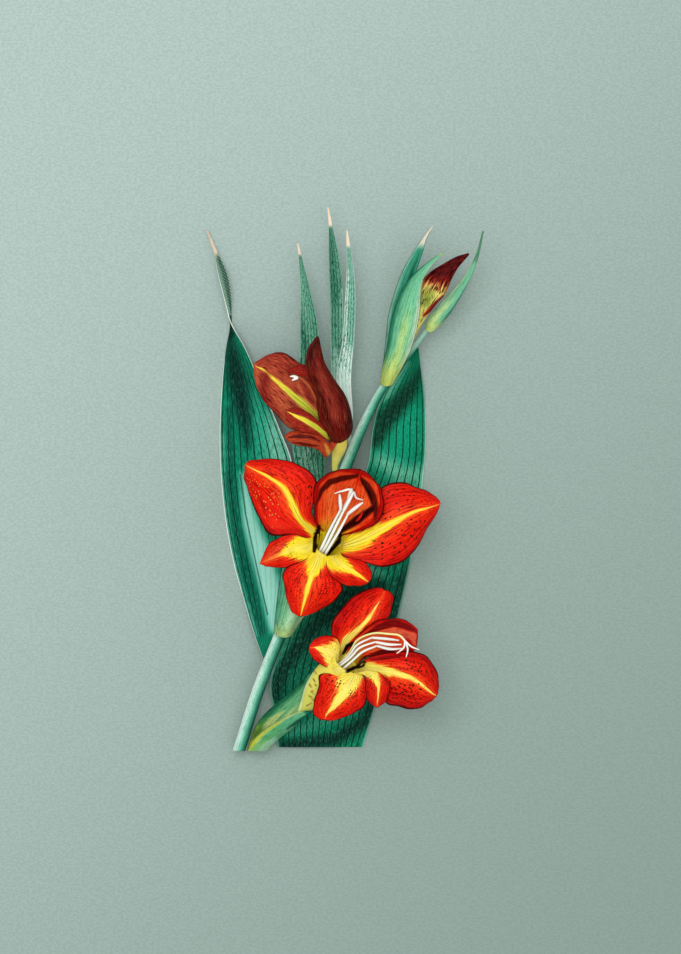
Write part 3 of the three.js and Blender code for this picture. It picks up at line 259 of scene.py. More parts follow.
LOWER_TEPALS = [
    # Upper wing
    [{"root": (110, 31), "dark": 1, "deep": 1, "rib": [1.4, 0.9, 0.55, 0.36, 0.24, 0.14, 0.08, 0, 0]},
     (-5.3,-62,34, 0.5,-64,34.5, 5,-64,36),
     (-5.6,-58,35.4, 3.8,-61,37, 9.5,-61,38),
     (-3.6,-54,36, 7.5,-57.5,39.5, 14,-58,39.5),
     (0.9,-48.6,36, 10.4,-54,40.5, 17.6,-54,39),
     (6.5,-44.6,36.5, 12.6,-50.3,40.5, 19.2,-49,37.5),
     (11.8,-43,37.5, 14.6,-47,39.8, 19.2,-46,38),
     (15.3,-43.3,38.5, 16,-43.8,38.8, 17,-44,38.5)],
    # Hood
    [{"root": (50, 31), "hood": True},
     (4.5,-62.5,38.5, 6,-66.5,35.4, 8,-71,37.6),
     (10,-57.8,41.5, 11.5,-64.5,36.5, 12.5,-70.6,39),
     (16,-55.4,43.5, 17,-63.2,38.5, 18,-70.4,40),
     (22,-55.4,44.5, 22.5,-62.4,41, 23,-69.6,41),
     (26.5,-57.3,45, 26.6,-62.4,43.8, 26.8,-68.6,42.4),
     (29.1,-59.7,45, 28.9,-62.9,45.2, 28.5,-67.2,43.6)],
    # Right wing
    [{"root": (350, 29), "dark": 1, "deep": 1.1,
      "rib": [1.5, 1.2, 0.95, 0.7, 0.34, 0.14, 0.07, 0.05, 0.04]},
     (8.5,-71.3,39.4, 9,-75,38.8, 9.5,-77.8,39),
     (14,-69.6,42, 14,-75.8,41.6, 13,-82,38.6),
     (20.5,-68.4,43.4, 19,-76.7,44, 16,-88.4,37.6),
     (27.5,-68.6,43.4, 24.3,-78.2,45, 20,-90.3,37.2),
     (33,-70.6,41.6, 29,-80.5,44.5, 25.5,-91.4,37.5),
     (36.5,-76.5,39.6, 32.8,-83.5,43, 30.5,-90.8,38),
     (37.5,-81.8,39, 35,-85.3,41, 34,-88.6,38.8),
     (37,-85.2,39.3, 36.5,-86,39.8, 35.9,-86.9,39.2)],
    # Lower left
    [{"root": (172, 30), "dark": 0.5, "deep": 0.6, "rib": [1.6, 1.6, 1.6, 1.6, 1.3, 0.95, 0.45, 0.02, 0]},
     (-4.3,-75.2,34.6, -3,-71.5,35, -2.2,-65.5,34.6),
     (-8.2,-74.4,36, -6,-69.4,37, -4.5,-62.4,36),
     (-11.6,-72.4,36.8, -9.2,-67.7,38, -9,-62.3,36.8),
     (-13.7,-69.8,37, -12,-66.9,37.6, -12,-63.6,36.8),
     (-14.3,-67.8,36.9, -14.4,-67.1,37, -14.2,-66.3,36.8)],
    # Lower middle
    [{"root": (240, 30), "dark": 0.9, "deep": 0.5, "gain": 1.04,
      "rib": [1.6, 1.6, 1.6, 1.4, 0.65, 0.38, 0.22, 0.06, 0]},
     (6.5,-77.6,38.6, 3.2,-78,38.2, -2.5,-77,37),
     (8.2,-81,39.6, 1.9,-81.3,39.8, -9.6,-78,36),
     (8.8,-85.5,39.6, -0.2,-85,40.5, -10.2,-83,35.5),
     (7.2,-90,38.5, -2.9,-88.4,40, -11.8,-88,35),
     (2.5,-93.4,37, -5.3,-91.4,38.8, -12.6,-91.8,35.5),
     (-2.5,-95.3,36.5, -7.3,-93.5,37.4, -11.8,-94.2,36),
     (-6.6,-96.2,36.2, -8,-95.8,36.4, -9.4,-95.8,36)],
    # Lower right
    [{"root": (297, 26), "dark": 1, "deep": 1, "gain": 1.12,
      "rib": [1.6, 1.6, 1.6, 1.6, 1.1, 0.42, 0.1, 0.04, 0]},
     (11,-76.6,41, 8.6,-76.4,40.6, 7.4,-77.6,40.2),
     (15.3,-78.4,43.4, 11.8,-78.6,42.8, 8.7,-80.2,41.6),
     (17.2,-81.8,43, 13.3,-82,43.2, 8.8,-84,41.2),
     (17.1,-85.2,41.8, 13.3,-85.6,42.4, 9.3,-87.2,40.4),
     (15.6,-88.7,40, 12.9,-88.6,40.8, 10.8,-89.4,39.5),
     (13.4,-90.4,39.2, 12.8,-90.7,39.3, 12.2,-90.6,39.2)],
]

# The half-open flower's tepals have two colours of their own
HALF_TEPALS = [
    # Left wing, its inner face turned up
    [{"root": (150, 34), "first": (206, 98, 60), "second": (150, 38, 28),
      "rib": [0.9, 0.7, 0.55, 0.42, 0.22, 0.12, 0.08, 0.05, 0.03]},
     (-11,17.5,26.4, -9,22.5,25.9, -4,25,26.2),
     (-17.5,18.8,28, -14.5,28.6,28, -7.5,34,29),
     (-23,21.2,29, -19.8,33,28.5, -11.5,41,30.4),
     (-28,26.8,30, -24.8,37.3,29, -18.5,47,31),
     (-32.6,31.8,31, -29,40.8,30, -24.8,51,31.2),
     (-35.4,37.2,31, -32.6,44,31, -30.5,50.2,31),
     (-36.4,42.5,31, -35.2,45.2,31.3, -34.6,47.9,31),
     tip(-36.3, 46.6, 31, 0.7, 0.7)],
    # Hood, its outer face turned up
    [{"root": (270, -60), "first": (116, 24, 18), "second": (92, 10, 12)},
     (-5.6,16.2,29, -1.8,16.2,31.5, 1.8,17.4,29),
     (-9.8,22.5,31.6, -3.5,21.5,35.4, 3,21.6,31),
     (-11,28.5,33, -4.2,28,37.4, 2.4,27.6,32),
     (-11.7,34.4,34.4, -6,34.4,38.4, -0.2,34.2,33.5),
     (-14,40.2,35.6, -8.8,40.4,38.9, -4.4,40.2,35),
     (-15.5,46.5,36, -11.5,46.2,38.9, -7.6,46,36),
     (-14.9,52,36.6, -12,52,38.3, -9.4,51.8,36.8),
     (-12.6,55.8,37, -11.4,55.8,37.6, -10.2,55.8,37),
     tip(-10.9, 57.4, 37)],
    # Small front tepal
    [{"root": (195, 30), "first": (178, 52, 34), "second": (136, 18, 18),
      "rib": [1.2, 1, 0.9, 0.75, 0.5, 0.34, 0.22, 0.08, 0]},
     (-9,16.8,29.5, -8,18.4,31, -7.5,19.8,31.5),
     (-13.5,18.5,31.5, -12,21.5,33, -11,24,33),
     (-18,19.4,33, -16.4,24.1,34.3, -14.8,27,34),
     (-21.8,22.2,33.8, -20,25.8,34.6, -18.6,28.8,34),
     (-23.6,25,34, -22.4,27,34.3, -21.4,28.7,34),
     tip(-23.4, 27.4, 34, 0.6, 0.8)],
    # Lower tepal
    [{"root": (235, 34), "first": (206, 84, 44), "second": (176, 46, 26)},
     (-7.4,9.2,26.5, -6.6,12,28, -6.4,15,29),
     (-10.6,12,28.5, -10.2,14.8,30, -9.6,17.2,30),
     (-14.6,13.3,30, -14.4,16.2,31.2, -14,18.9,31),
     (-19,13.8,31, -19,16.8,32, -19,19.6,31.5),
     (-22.2,15.3,31.3, -22,17.3,31.9, -22.2,19.2,31.5),
     tip(-24, 17.5, 31.2, 0.2, 1)],
    # Right wing, mostly behind the hood
    [{"root": (56, 28), "first": (170, 30, 22), "second": (124, 16, 14)},
     (-7,24,32.2, -6.5,27,33.4, -5,29,32.8),
     (-11,32,32, -9.8,35,33, -7,37,32),
     (-14.8,40.4,33.2, -13,42.2,34, -10.5,43.6,33.4),
     (-17.6,41.6,33.6, -17.2,43.8,34.2, -17,46.2,33.6),
     (-20.6,42.6,33.4, -20.4,43.9,33.8, -20.2,45.2,33.4),
     tip(-23.6, 43.8, 33.2, 0, 1)],
    # Back tepal, under the left wing
    [{"root": (170, 28), "first": BRICK, "second": (206, 92, 56)},
     (-9.5,18,24.4, -8.5,21,24, -6.5,24,24.2),
     (-15.5,22,25.6, -13.5,27,25.2, -10,31,25.8),
     (-21,27,26.6, -18.5,32.5,26.2, -14.5,37,26.8),
     (-25.5,33.5,27.6, -23.5,37.5,27.2, -20,41,27.8),
     tip(-28, 41, 28, 0.8, 0.8)],
]

# Strokes in the throat, on the tube's outside and on single tepals, which are counted from 0
UPPER_STROKES = {
    "throat": [
        (INK, 1, 0.4, (-10.4,-18.6,1.5), (-11.4,-22.6,2.6), (-12.3,-28.4,1.4)),
        (YELLOW, 1, 0.3, (-10.7,-21.8,0.5), (-11,-25.2,0.8)),
        (INK, 1, 0.4, (-2.2,-21.2,2.2), (-2.8,-24.6,2.3), (-7,-29.8,1.2)),
        (YELLOW, 1, 0.3, (-3.4,-23.2,0.6), (-5.2,-26.4,0.4)),
    ],
    3: [
        ((236, 84, 46), 0.7, 3, (-33,-33,2), (-29,-30,5), (-26,-26,3)),
    ],
    2: [
        # Painted shadow in the hollow of the hood: maroon and near black strokes under its rim
        (MAROON, 1, 0.7, (-11.4,-10,0.6), (-9.4,-4.2,2), (-6,-0.8,2.4), (-1.2,0.6,2.2), (5.6,1.8,1.4)),
        (MAROON, 1, 0.7, (6,1.2,1), (8.7,-2.3,2.8), (11,-6.5,3), (12.2,-11.2,2.6), (12,-16.4,0.8)),
        (INK, 0.9, 0.7, (6.4,0,0.6), (9.6,-5,1.2), (11,-10,0.6)),
        ((48, 2, 6), 1, 1, (10.6,-11.6,2.2), (4.8,-16,3.6), (-1.6,-20.4,1.6)),
        (SCARLET, 1, 0.7, (6.2,3,0.4), (5.4,0.2,1), (4.6,-2,0.3)),
    ],
}

LOWER_STROKES = {
    "tube": [
        ((126, 188, 128), 0.9, 0.8, (-13.4,-73,3), (-18.6,-84,4), (-21,-93,4)),
        ((230, 242, 190), 0.9, 0.4, (-11.6,-73.6,0.7), (-16.2,-84,0.7), (-18.4,-93,0.7)),
        (BROWN, 0.9, 0.3, (-12.6,-79.6,0.5), (-11.2,-83.2,0.3)),
        (BROWN, 0.9, 0.3, (-14.2,-81.6,0.4), (-12.8,-84.6,0.2)),
        (BROWN, 0.9, 0.3, (-14.4,-86.4,0.6), (-11.8,-88.4,0.3)),
        (BROWN, 0.9, 0.3, (-13.4,-84.6,0.4), (-11.8,-85.8,0.2)),
        (BROWN, 0.9, 0.3, (-12.4,-76.4,0.4), (-10.6,-78.2,0.2)),
        (BROWN, 0.9, 0.3, (-15.4,-90.4,0.5), (-13.4,-89.2,0.3)),
    ],
    "throat": [
        (INK, 1, 0.4, (2.9,-65.3,1.6), (0.9,-66.4,1.6), (-0.8,-69.6,0.9)),
        (INK, 1, 0.4, (0.9,-76.4,1.4), (5.4,-74.3,1.4)),
        (INK, 1, 0.4, (5.4,-74.3,0.8), (6.5,-72.7,0.8), (7.9,-72.7,0.8), (7.4,-74.2,0.8), (5.4,-75,0.8)),
    ],
    1: [
        # Painted shade: the dark red band along the top of the hood, on its steep wall
        ((128, 8, 14), 1, 0.7, (7.4,-62.4,0.8), (13.5,-58.8,2.6), (19.5,-57,3.2),
         (25.6,-58.8,2.4), (28.4,-60.6,1)),
        ((236, 108, 76), 0.9, 1.6, (12,-61.6,0.6), (19.5,-60.4,2.6), (27,-62.4,3.4), (28,-66,1)),
        ((110, 4, 10), 1, 0.7, (8.2,-71.2,1.6), (14.5,-69.3,3.2), (19.5,-68.4,1.2)),
    ],
    2: [
        ((130, 6, 12), 0.9, 0.7, (10.5,-71.9,0.6), (17,-70.9,1.4), (22,-70.4,0.6)),
    ],
}

HALF_STROKES = {
    3: [
        (MAROON, 1, 0.7, (-22.6,17,0.4), (-18.6,17.5,1.5), (-13.6,17.2,1.3), (-10,15.6,0.5)),
        ((250, 196, 84), 0.85, 1.4, (-8,14.6,0.6), (-6.6,11,1.8), (-5.2,7.6,1.2)),
        ((226, 110, 60), 0.9, 0.8, (-22,13.4,0.4), (-15,12,1), (-10,9.4,0.6)),
        (MAROON, 1, 0.7, (-20.5,15,0.3), (-16,14.3,1.2), (-11.5,13.6,0.5)),
    ],
    0: [
        ((196, 90, 56), 0.9, 3, (-12,29,2), (-15.2,35,4), (-19,42,5)),
        ((140, 28, 20), 0.85, 1.2, (-12.6,31,1.4), (-14.8,34.6,2.6), (-17.6,38.6,1.2)),
        (INK, 0.9, 0.4, (-23.2,43,0.4), (-18,45.4,0.7), (-14.4,44.6,0.6)),
        ((120, 14, 16), 0.95, 5, (-31.5,42,2), (-33,36,3), (-30,27,4), (-26,20,4)),
    ],
    1: [
        # Painted sheen along the hood's ridge, and painted shade along its sides and at its tip
        ((150, 48, 34), 0.8, 3.4, (-10.6,47,1), (-9,40,3), (-6.2,33,4.4), (-3.4,25,4.4)),
        ((64, 4, 8), 0.95, 2, (-10.8,57,3), (-13.4,50,2.6), (-14.4,46,1.4)),
        ((60, 4, 8), 1, 2.4, (-0.6,36.4,1.4), (2.4,28,2.4), (1.6,20,2.4)),
        ((70, 6, 8), 0.9, 2, (-11.6,40,0.8), (-8.4,30,1.6), (-6.2,22,1.6)),
    ],
}

# Where the dots are large and close together: the tepal, then x, y and width along the line
UPPER_DENSE = [
    (0, (-14,-3,3), (-14.6,-9,3)),
    (3, (-25.6,-24,1.8), (-23.4,-27,1.8)),
    (3, (-22.4,-29.6,1.8), (-18.4,-32.4,1.8)),
    (4, (-6,-42,3), (-9,-46,3)),
]
LOWER_DENSE = [
    (2, (19,-82.5,4), (23.5,-85,7), (29,-83,5)),
    (2, (25,-73,4), (32,-76,4)),
    (4, (2.6,-85.6,3.4), (6.2,-84.2,3.4)),
    (4, (-7.2,-78.2,3), (-2.2,-81,3)),
    (5, (9.4,-78.6,2.6), (10.4,-84,2.6)),
    (5, (14.8,-79.6,2.2), (17.2,-80.6,2.2)),
]

# Tubes of the flowers: the path and its radii, and how far down their lining reaches
UPPER_TUBE = {
    "path": [(-22.6,-58,19.2), (-19.6,-50,20.4), (-16.4,-41.5,23), (-12.2,-34,26.6), (-8.6,-28.4,30.6),
             (-7,-25.4,35)],
    "radii": [1.6, 2.1, 2.5, 3.4, 5, 6.6],
    "floor": 0.35,
}
LOWER_TUBE = {
    "path": [(-32.6,-103.6,9.4), (-25.8,-99,12.6), (-19.6,-94.6,16.8), (-15.2,-90,21), (-11.4,-83.8,24.8),
             (-6,-78,29), (0.4,-73.2,34)],
    "radii": [1.5, 1.8, 2.2, 3, 4.8, 6.2, 6.8],
    "floor": 0.35,
}
HALF_TUBE = {
    "path": [(-3.4,-0.5,17.3), (-4.1,4.8,18.6), (-3.4,9,20.4), (-2.4,13,22.8), (-2.8,17,25.8)],
    "radii": [0.9, 1.1, 1.9, 3, 4.2],
    "floor": 0.5,
}

# Each stamen: the turn of its root in the tube, three points of its filament and three of its anther
UPPER_STAMENS = [
    (175, (-9.6,-27.4,36.6), (-6,-20,41.6), (-2.1,-12.4,43.4),
     (-1.7,-11.6,43.6), (-1.9,-8.4,44.4), (-2.2,-5.6,44.8)),
    (235, (-8,-27.1,37.4), (-4.4,-20,43.2), (-0.6,-12.4,45.2),
     (-0.2,-11.5,45.4), (1.8,-7.8,46.2), (3.6,-4.6,46.6)),
    (300, (-7,-28,37.2), (-2.6,-20.6,41.8), (1,-14,43.2),
     (1.5,-13.2,43.4), (4.4,-10.9,44), (7.2,-8.9,44.4)),
]
LOWER_STAMENS = [
    (150, (0.8,-71,37.6), (4.8,-65.9,42.6), (10.6,-62.9,45.6),
     (11.6,-63,46), (16.8,-63.4,47.4), (21.6,-64,48)),
    (210, (1.3,-71.6,38.7), (5.8,-67,44.2), (12,-64.6,47.4),
     (13,-64.8,47.8), (17.6,-65.6,49.2), (22.6,-65.6,49.8)),
    (280, (2.2,-72.8,38.8), (7,-68.6,43.6), (12.6,-66.2,46),
     (13.6,-66.4,46.4), (18,-67.4,47.4), (23,-67.2,48.2)),
]

# Each flower: its tube, tepals, strokes and dots, the shades of its tube, its stamens and its style.
# A root in the tube is a place along it, a distance from its middle and a turn.
FLOWERS = {
    "upper": {
        "tube": UPPER_TUBE, "tepals": UPPER_TEPALS, "strokes": UPPER_STROKES, "dense": UPPER_DENSE,
        "shape": OPEN_SHAPE, "seed": 1, "lining": YELLOW,
        "outside": [(0, (206, 206, 96)), (0.4, (226, 206, 80)), (0.8, YELLOW)],
        "stamens": UPPER_STAMENS, "stamen_root": (0.72, 2),
        "style_roots": [(0.41, 0, 0), (0.62, 0.3, 60)],
        "style": [(-8.2,-26,36), (-4.8,-19.4,39.4), (-1.4,-12.6,41.2), (1.2,-7.6,42.4)],
        "style_shade": "style",
        "fork": (1.1,-7.8,42.4),
        "stigmas": [
            [(2.6,-3.8,44.4), (-1.4,-4.5,44), (-4.3,-5.4,42.6)],
            [(1.7,-5.6,43.6), (2.3,-3.4,44.6)],
            [(3.2,-4.6,43.8), (4.5,-7.1,42.8), (7.2,-8,42.2)],
        ],
    },
    "lower": {
        "tube": LOWER_TUBE, "tepals": LOWER_TEPALS, "strokes": LOWER_STROKES, "dense": LOWER_DENSE,
        "shape": OPEN_SHAPE, "seed": 21, "lining": (250, 232, 92),
        "outside": [(0, (186, 204, 96)), (0.4, (200, 212, 100)), (0.8, (236, 226, 100)),
                    (1, (246, 228, 84))],
        "stamens": LOWER_STAMENS, "stamen_root": (0.74, 2.2),
        "style_roots": [(0.41, 0, 0), (0.66, 0.4, 60)],
        "style": [(1,-69.8,36.4), (5,-63.9,41.2), (11.2,-61.2,45.4), (17.4,-61.4,48.2), (21.6,-62,49),
                  (24,-64.2,49.6)],
        "style_shade": "style",
        "fork": (23.9,-64.1,49.6),
        "stigmas": [
            [(26.4,-66.4,50), (29.6,-67.7,50)],
            [(25,-67.4,50.2), (24.4,-70.6,49.8)],
            [(23.4,-66.8,51), (20.6,-69.2,50.6)],
        ],
    },
    "half_open": {
        "tube": HALF_TUBE, "tepals": HALF_TEPALS, "strokes": HALF_STROKES, "dense": [],
        "shape": HALF_OPEN_SHAPE, "seed": 41, "lining": LIME,
        "outside": [(0, (206, 214, 96)), (0.5, (240, 236, 120)), (1, (246, 226, 100))],
        "stamens": [],
        "style_roots": [(0.62, 0, 0)],
        "style": [(-3.8,17,26.4), (-6.6,21,27.6), (-10,29,29.8), (-14,37,31.4), (-17.4,40.6,32.2),
                  (-19,41,32.6)],
        "style_shade": "rusty",
        "fork": (-18.9,40.9,32.6),
        "stigmas": [
            [(-20.4,41.4,33), (-22,41.4,33.4)],
            [(-20,40.4,32.8), (-21.2,39.8,33)],
        ],
    },
}

OVARIES = {
    "upper_ovary": [(-24.9,-62,16.6), (-24.3,-60.8,17.3), (-23.7,-59.8,17.9), (-23,-58.7,18.6)],
    "lower_ovary": [(-37.2,-108,6.6), (-36.2,-106.9,7.2), (-34.8,-105.5,8), (-33.2,-104.1,9)],
}

# The bud: its left and right outline from base to tip
BUD_ROWS = [
    [(17,40.6,18.7), (18.4,40,18.7)],
    [(20.4,49,20.2), (23.6,47.8,20.2)],
    [(23.6,56.4,21.6), (27,54.8,21.6)],
    [(26.2,64,22.4), (31,62.6,22.4)],
    [(28.4,71,23), (36.8,70.4,23)],
    [(30,78,23.4), (40.4,74.4,23.4)],
    [(34,83,23.6), (42.4,79.4,23.6)],
    [(39.4,86.5,23.8), (45,84.4,23.8)],
    [(44.6,89.4,24), (47.4,87.4,24)],
    [(49.4,90.8,24), (49.8,90.2,24)],
]

# The middle of the stem from its cut end to its tip
STEM_PATH = [
    (-42.6,-108.6,6.5), (-34.8,-84.4,9.3), (-26.8,-64,11.9), (-17.8,-41.2,13), (-8.8,-18.4,14),
    (0.2,4.5,14.3), (7.2,21.6,13.6), (14.6,35.8,12), (21,44.4,11.6), (26.8,52,12.2), (33,60.2,13.6),
]

# Each leaf: vein lanes on either side and how many more there are further down, half its width, its
# two greens, the strength of its pale margin and where along it the dry tip starts
LEAF_LOOKS = {
    "leaf_left": {
        "lanes": 5, "half": 16, "body": (0, 128, 96), "light": MID_GREEN, "edge": 0.95, "dry": 0.925,
    },
    "leaf_right": {
        "lanes": 4, "more": 3.6, "half": 18, "body": (0, 118, 84), "light": MID_GREEN, "edge": 0.45,
    },
    "leaf_centre_left": {
        "lanes": 3, "half": 5, "body": (84, 152, 124), "light": (150, 204, 178), "edge": 0.3, "dry": 0.91,
    },
    "leaf_centre": {
        "lanes": 2, "half": 4, "body": (96, 156, 130), "light": (160, 206, 182), "edge": 0.2, "dry": 0.87,
    },
    "leaf_centre_right": {
        "lanes": 2, "half": 4, "body": (130, 196, 174), "light": PALE_MINT, "edge": 0.8, "dry": 0.9,
    },
}

# The smooth middle of the left leaf, which shows no veins: x, y and width along it
SMOOTH_LINE = [(-41,2,2), (-38,-18,8), (-34,-30,10), (-29.6,-45,10), (-27,-58,9)]

# The leaves
LEAF_ROWS = {
    "leaf_left": [
        (-32.8,-71.5,7.4, -31.2,-73,7.5, -29.6,-74,7.5),
        (-36.6,-61,4.5, -31.5,-61,7, -27.5,-61,8.3),
        (-40.9,-47,1.2, -32,-46,6, -24,-46,9),
        (-44.8,-33,-3, -33.5,-30,5.5, -21.5,-30,9.5),
        (-48,-16,-3.4, -35.5,-12,5.5, -20.5,-12,9.6),
        (-49.9,3.4,-3.4, -37,4,5.5, -21,6,9.6),
        (-50.3,20,-3, -38.5,20,5.5, -26,20,9),
        (-49.4,38,-1.6, -41.5,38,5, -33.6,38,8),
        (-47.9,52,0.8, -44,52,4.5, -39.6,52,6.8),
        (-45.9,62,2.4, -45.7,62,4.2, -45.4,62.4,6),
        (-45.5,69,4.2, -46.4,69,4.4, -47.4,69,5.4),
        (-45.9,76,4.8, -47.6,76,4.2, -49.3,76,5),
        (-47.4,83,4.8, -49.3,83,4.4, -51,83,4.8),
        (-51,91,4.2, -51.7,91,4.2, -52.5,91,4.2),
        tip(-55.4, 100.2, 3, -1),
    ],
    "leaf_right": [
        (-26.9,-107.1,1.4, -10,-107.1,2, 7.1,-107.1,-2),
        (-28.6,-93,3.6, -8.5,-93,3.8, 11.6,-93,-3),
        (-30.2,-81.5,5.8, -7,-79,5, 15.5,-78,-3.6),
        (-26.8,-69,8.4, -4,-65,6, 19,-65,-4),
        (-21,-52,9.5, 0,-50,6.5, 22.8,-50,-4.4),
        (-13.4,-35,9.8, 6,-34,6.8, 26.2,-34,-4.4),
        (0.5,-13,9.6, 15,-12,6.5, 29.8,-12,-4),
        (8.8,5,9, 21,7,5.5, 32,8,-2.6),
        (11.2,21,8, 22,22,5, 32.5,22,-1),
        (15,34,8, 24,35,5.5, 31.6,35,2),
        (22,44,7.6, 26.5,44,6, 30.4,44,3.5),
        tip(29.1, 53, 6),
    ],
    "leaf_centre_left": [
        (-10.4,-18.4,11.1, -8.8,-18.4,10.8, -7.2,-18.4,11.1),
        (-17,-2,11.4, -12,-2,10.3, -8,-2,11),
        (-20.8,12,12, -14.5,12,10.8, -8,12,12),
        (-20,30,12.5, -14.2,30,11, -8.6,30,12.5),
        (-18.3,47.6,13, -13.8,47.6,12, -9.6,48,13),
        (-17.8,62,13.5, -14.4,62,13, -11,62,13.5),
        (-17.8,76,14, -15.8,76,13.7, -14,76,14),
        (-18.4,88,14, -17.7,88,14, -17,88,14),
        tip(-18.9, 94.8, 13.5),
    ],
    "leaf_centre": [
        (-2,0,11, -0.8,0,10.8, 0.6,0,11),
        (-4.5,15,12.5, -2.2,15,12, 0,15,12.4),
        (-5.4,35,14, -3,35,13.3, -0.8,35,14),
        (-5.6,55,15, -3.2,55,14.2, -0.8,55,15),
        (-5.9,72,15.5, -3.4,72,15, -0.6,72,15.5),
        (-6.4,88,15.5, -4.4,88,15.3, -2.1,88,15.5),
        (-6.5,101,15, -5.8,101,15, -4.9,101,15),
        tip(-6.8, 109.2, 14.5),
    ],
    "leaf_centre_right": [
        (1.8,12,11.2, 3,12,10.9, 4.2,12,11.2),
        (0.8,18,12.2, 1.6,18,12.1, 2.4,18,12.2),
        (0.2,26,14.5, 1.7,26,14.3, 3.1,26,14.5),
        (-3.4,40.6,16.2, -0.6,40.6,15.8, 2.4,40.6,16.2),
        (-1,56,17.2, 1.3,56,16.6, 3.6,56,17.2),
        (0,71.2,17.6, 2,71.2,17.1, 4.1,71.2,17.6),
        (0.7,83,17.6, 2.2,83,17.3, 3.6,83,17.6),
        (0.6,92,17.2, 1.4,92,17.2, 2.3,92,17.2),
        tip(0.8, 100, 16.5),
    ],
}

# Painted on the leaves, mostly light and shade: paler and darker bands where the blades bend and turn,
# and painted shadow under the flowers
LEAF_LIGHT_AND_SHADE = {
    "leaf_left": [
        ((50, 176, 142), 0.9, 6, (-36,34,3), (-33,22,8), (-30.5,8,11)),
        ((136, 212, 186), 0.9, 6, (-30,28,2), (-27,17,8), (-25,6,10)),
        ((160, 226, 206), 1, 5, (-41,2,2), (-38,-18,7), (-34,-30,9), (-29.6,-45,9), (-27,-58,8)),
        ((0, 92, 72), 0.9, 4, (-47,2,3), (-44,-18,5), (-39.5,-38,6), (-34,-60,5)),
        ((0, 80, 62), 0.8, 3, (-46.4,28,2.5), (-45.8,12,2), (-45.6,0,2)),
        ((120, 196, 172), 0.7, 1.5, (-49,18,1.6), (-48.8,-2,1.6), (-46.2,-22,1.6),
         (-42.2,-40,1.6), (-35.4,-62,1.6)),
        (DEEP_GREEN, 1, 7, (-46.8,58,2), (-45.4,50,6), (-43.4,40,8), (-41,28,6), (-39,14,1)),
        (DEEP_GREEN, 0.9, 0.4, (-42,2,0.4), (-39.8,-14,0.4), (-36,-32,0.4), (-31,-54,0.4)),
        ((150, 184, 162), 1, 1, (-46.6,66.5,3), (-48.4,77,5), (-52.4,92,5)),
        (DEEP_GREEN, 1, 2, (-45.8,65,1.6), (-46,58,3)),
    ],
    "leaf_right": [
        ((10, 164, 124), 0.85, 8, (27.5,26,8), (24.5,17,12), (21,10,12)),
        ((128, 210, 176), 0.85, 8, (14,8,5), (23,2,8), (31,2,8), (31,-10,8)),
        ((90, 180, 150), 0.7, 4, (20,40,3), (17.5,34,4)),
        ((0, 56, 38), 1, 5, (30.6,44,3), (26.5,36.5,6), (21,30,7.4), (16,24,7.4), (12.4,15,3.4)),
        ((116, 198, 162), 0.85, 2.6, (25,47,2), (20.6,40,3), (16,34,3), (12,29,1.4)),
        ((120, 200, 170), 0.6, 1.5, (32.4,30,1.2), (32.4,8,1.2), (30,-12,1.2), (26.8,-30,1.2)),
        ((100, 180, 150), 0.8, 5, (8,-34,5), (14,-38,4)),
        (DEEP_GREEN, 0.85, 6, (27,-34,3), (22.5,-42,6), (20.5,-52,6), (18,-62,5)),
        ((14, 96, 72), 0.75, 5, (-6,-60,7), (-13,-70,7), (-19,-82,7)),
        ((2, 52, 38), 1, 6, (14,-43,7), (2,-46,7), (-4,-52,7), (-11.4,-58,7), (-16,-63.4,7),
         (-20.6,-69.7,7), (-25.2,-76.5,7), (-28.4,-86,7)),
        ((74, 156, 124), 0.85, 2.4, (-14,-50,3), (-18.6,-56.4,3), (-22.6,-62.6,3),
         (-26.4,-70,2.4), (-29.4,-77,1.4)),
        ((70, 160, 130), 0.7, 5, (8,-90,4), (-8,-96,5), (-22,-101,4)),
        (DEEP_GREEN, 0.95, 5, (13,-86,5), (8,-97,5), (-4,-104,5), (-24,-107,5)),
    ],
    "leaf_centre_left": [
        ((46, 112, 88), 0.8, 3, (-22,84,1), (-20,72,3), (-17,58,3), (-13.4,44,2)),
        ((40, 160, 128), 0.8, 3, (-19.4,30,2), (-19.4,14,3), (-18.8,4,2)),
        ((40, 110, 86), 0.6, 4, (-13,10,2), (-9,8,4), (-8,2,4)),
        ((150, 208, 184), 0.8, 2.4, (-20,18,1.4), (-18,8,2), (-14,12,2)),
    ],
    "leaf_centre": [
        ((44, 108, 84), 0.85, 3, (-6,100,1), (-5,86,3), (-4,72,3.4)),
        ((60, 130, 104), 0.6, 4, (-4.4,70,3), (-3.4,56,3), (-3,46,2)),
        ((216, 255, 238), 1, 3, (-3.8,52,1), (-2.6,42,5), (-2,28,6)),
        (PALE_MINT, 0.7, 0.8, (-0.8,44,0.9), (-1,60,0.9), (-1.4,76,0.9)),
    ],
    "leaf_centre_right": [
        ((60, 136, 114), 0.8, 1.6, (4.6,84,1), (4.6,66,1.8), (4.6,54,1.4)),
        (WHITISH, 1, 0.5, (1.4,84,0.6), (0.8,72,0.9), (0.2,56,1), (-1.2,44,1), (-3,30,1.2)),
        ((232, 255, 244), 1, 3, (1.6,52,3), (0.8,42,8), (0,30,8), (0,14,6)),
        (WHITISH, 0.7, 1.2, (2.2,40,1), (1.6,26,1.6), (1.4,16,2)),
    ],
}

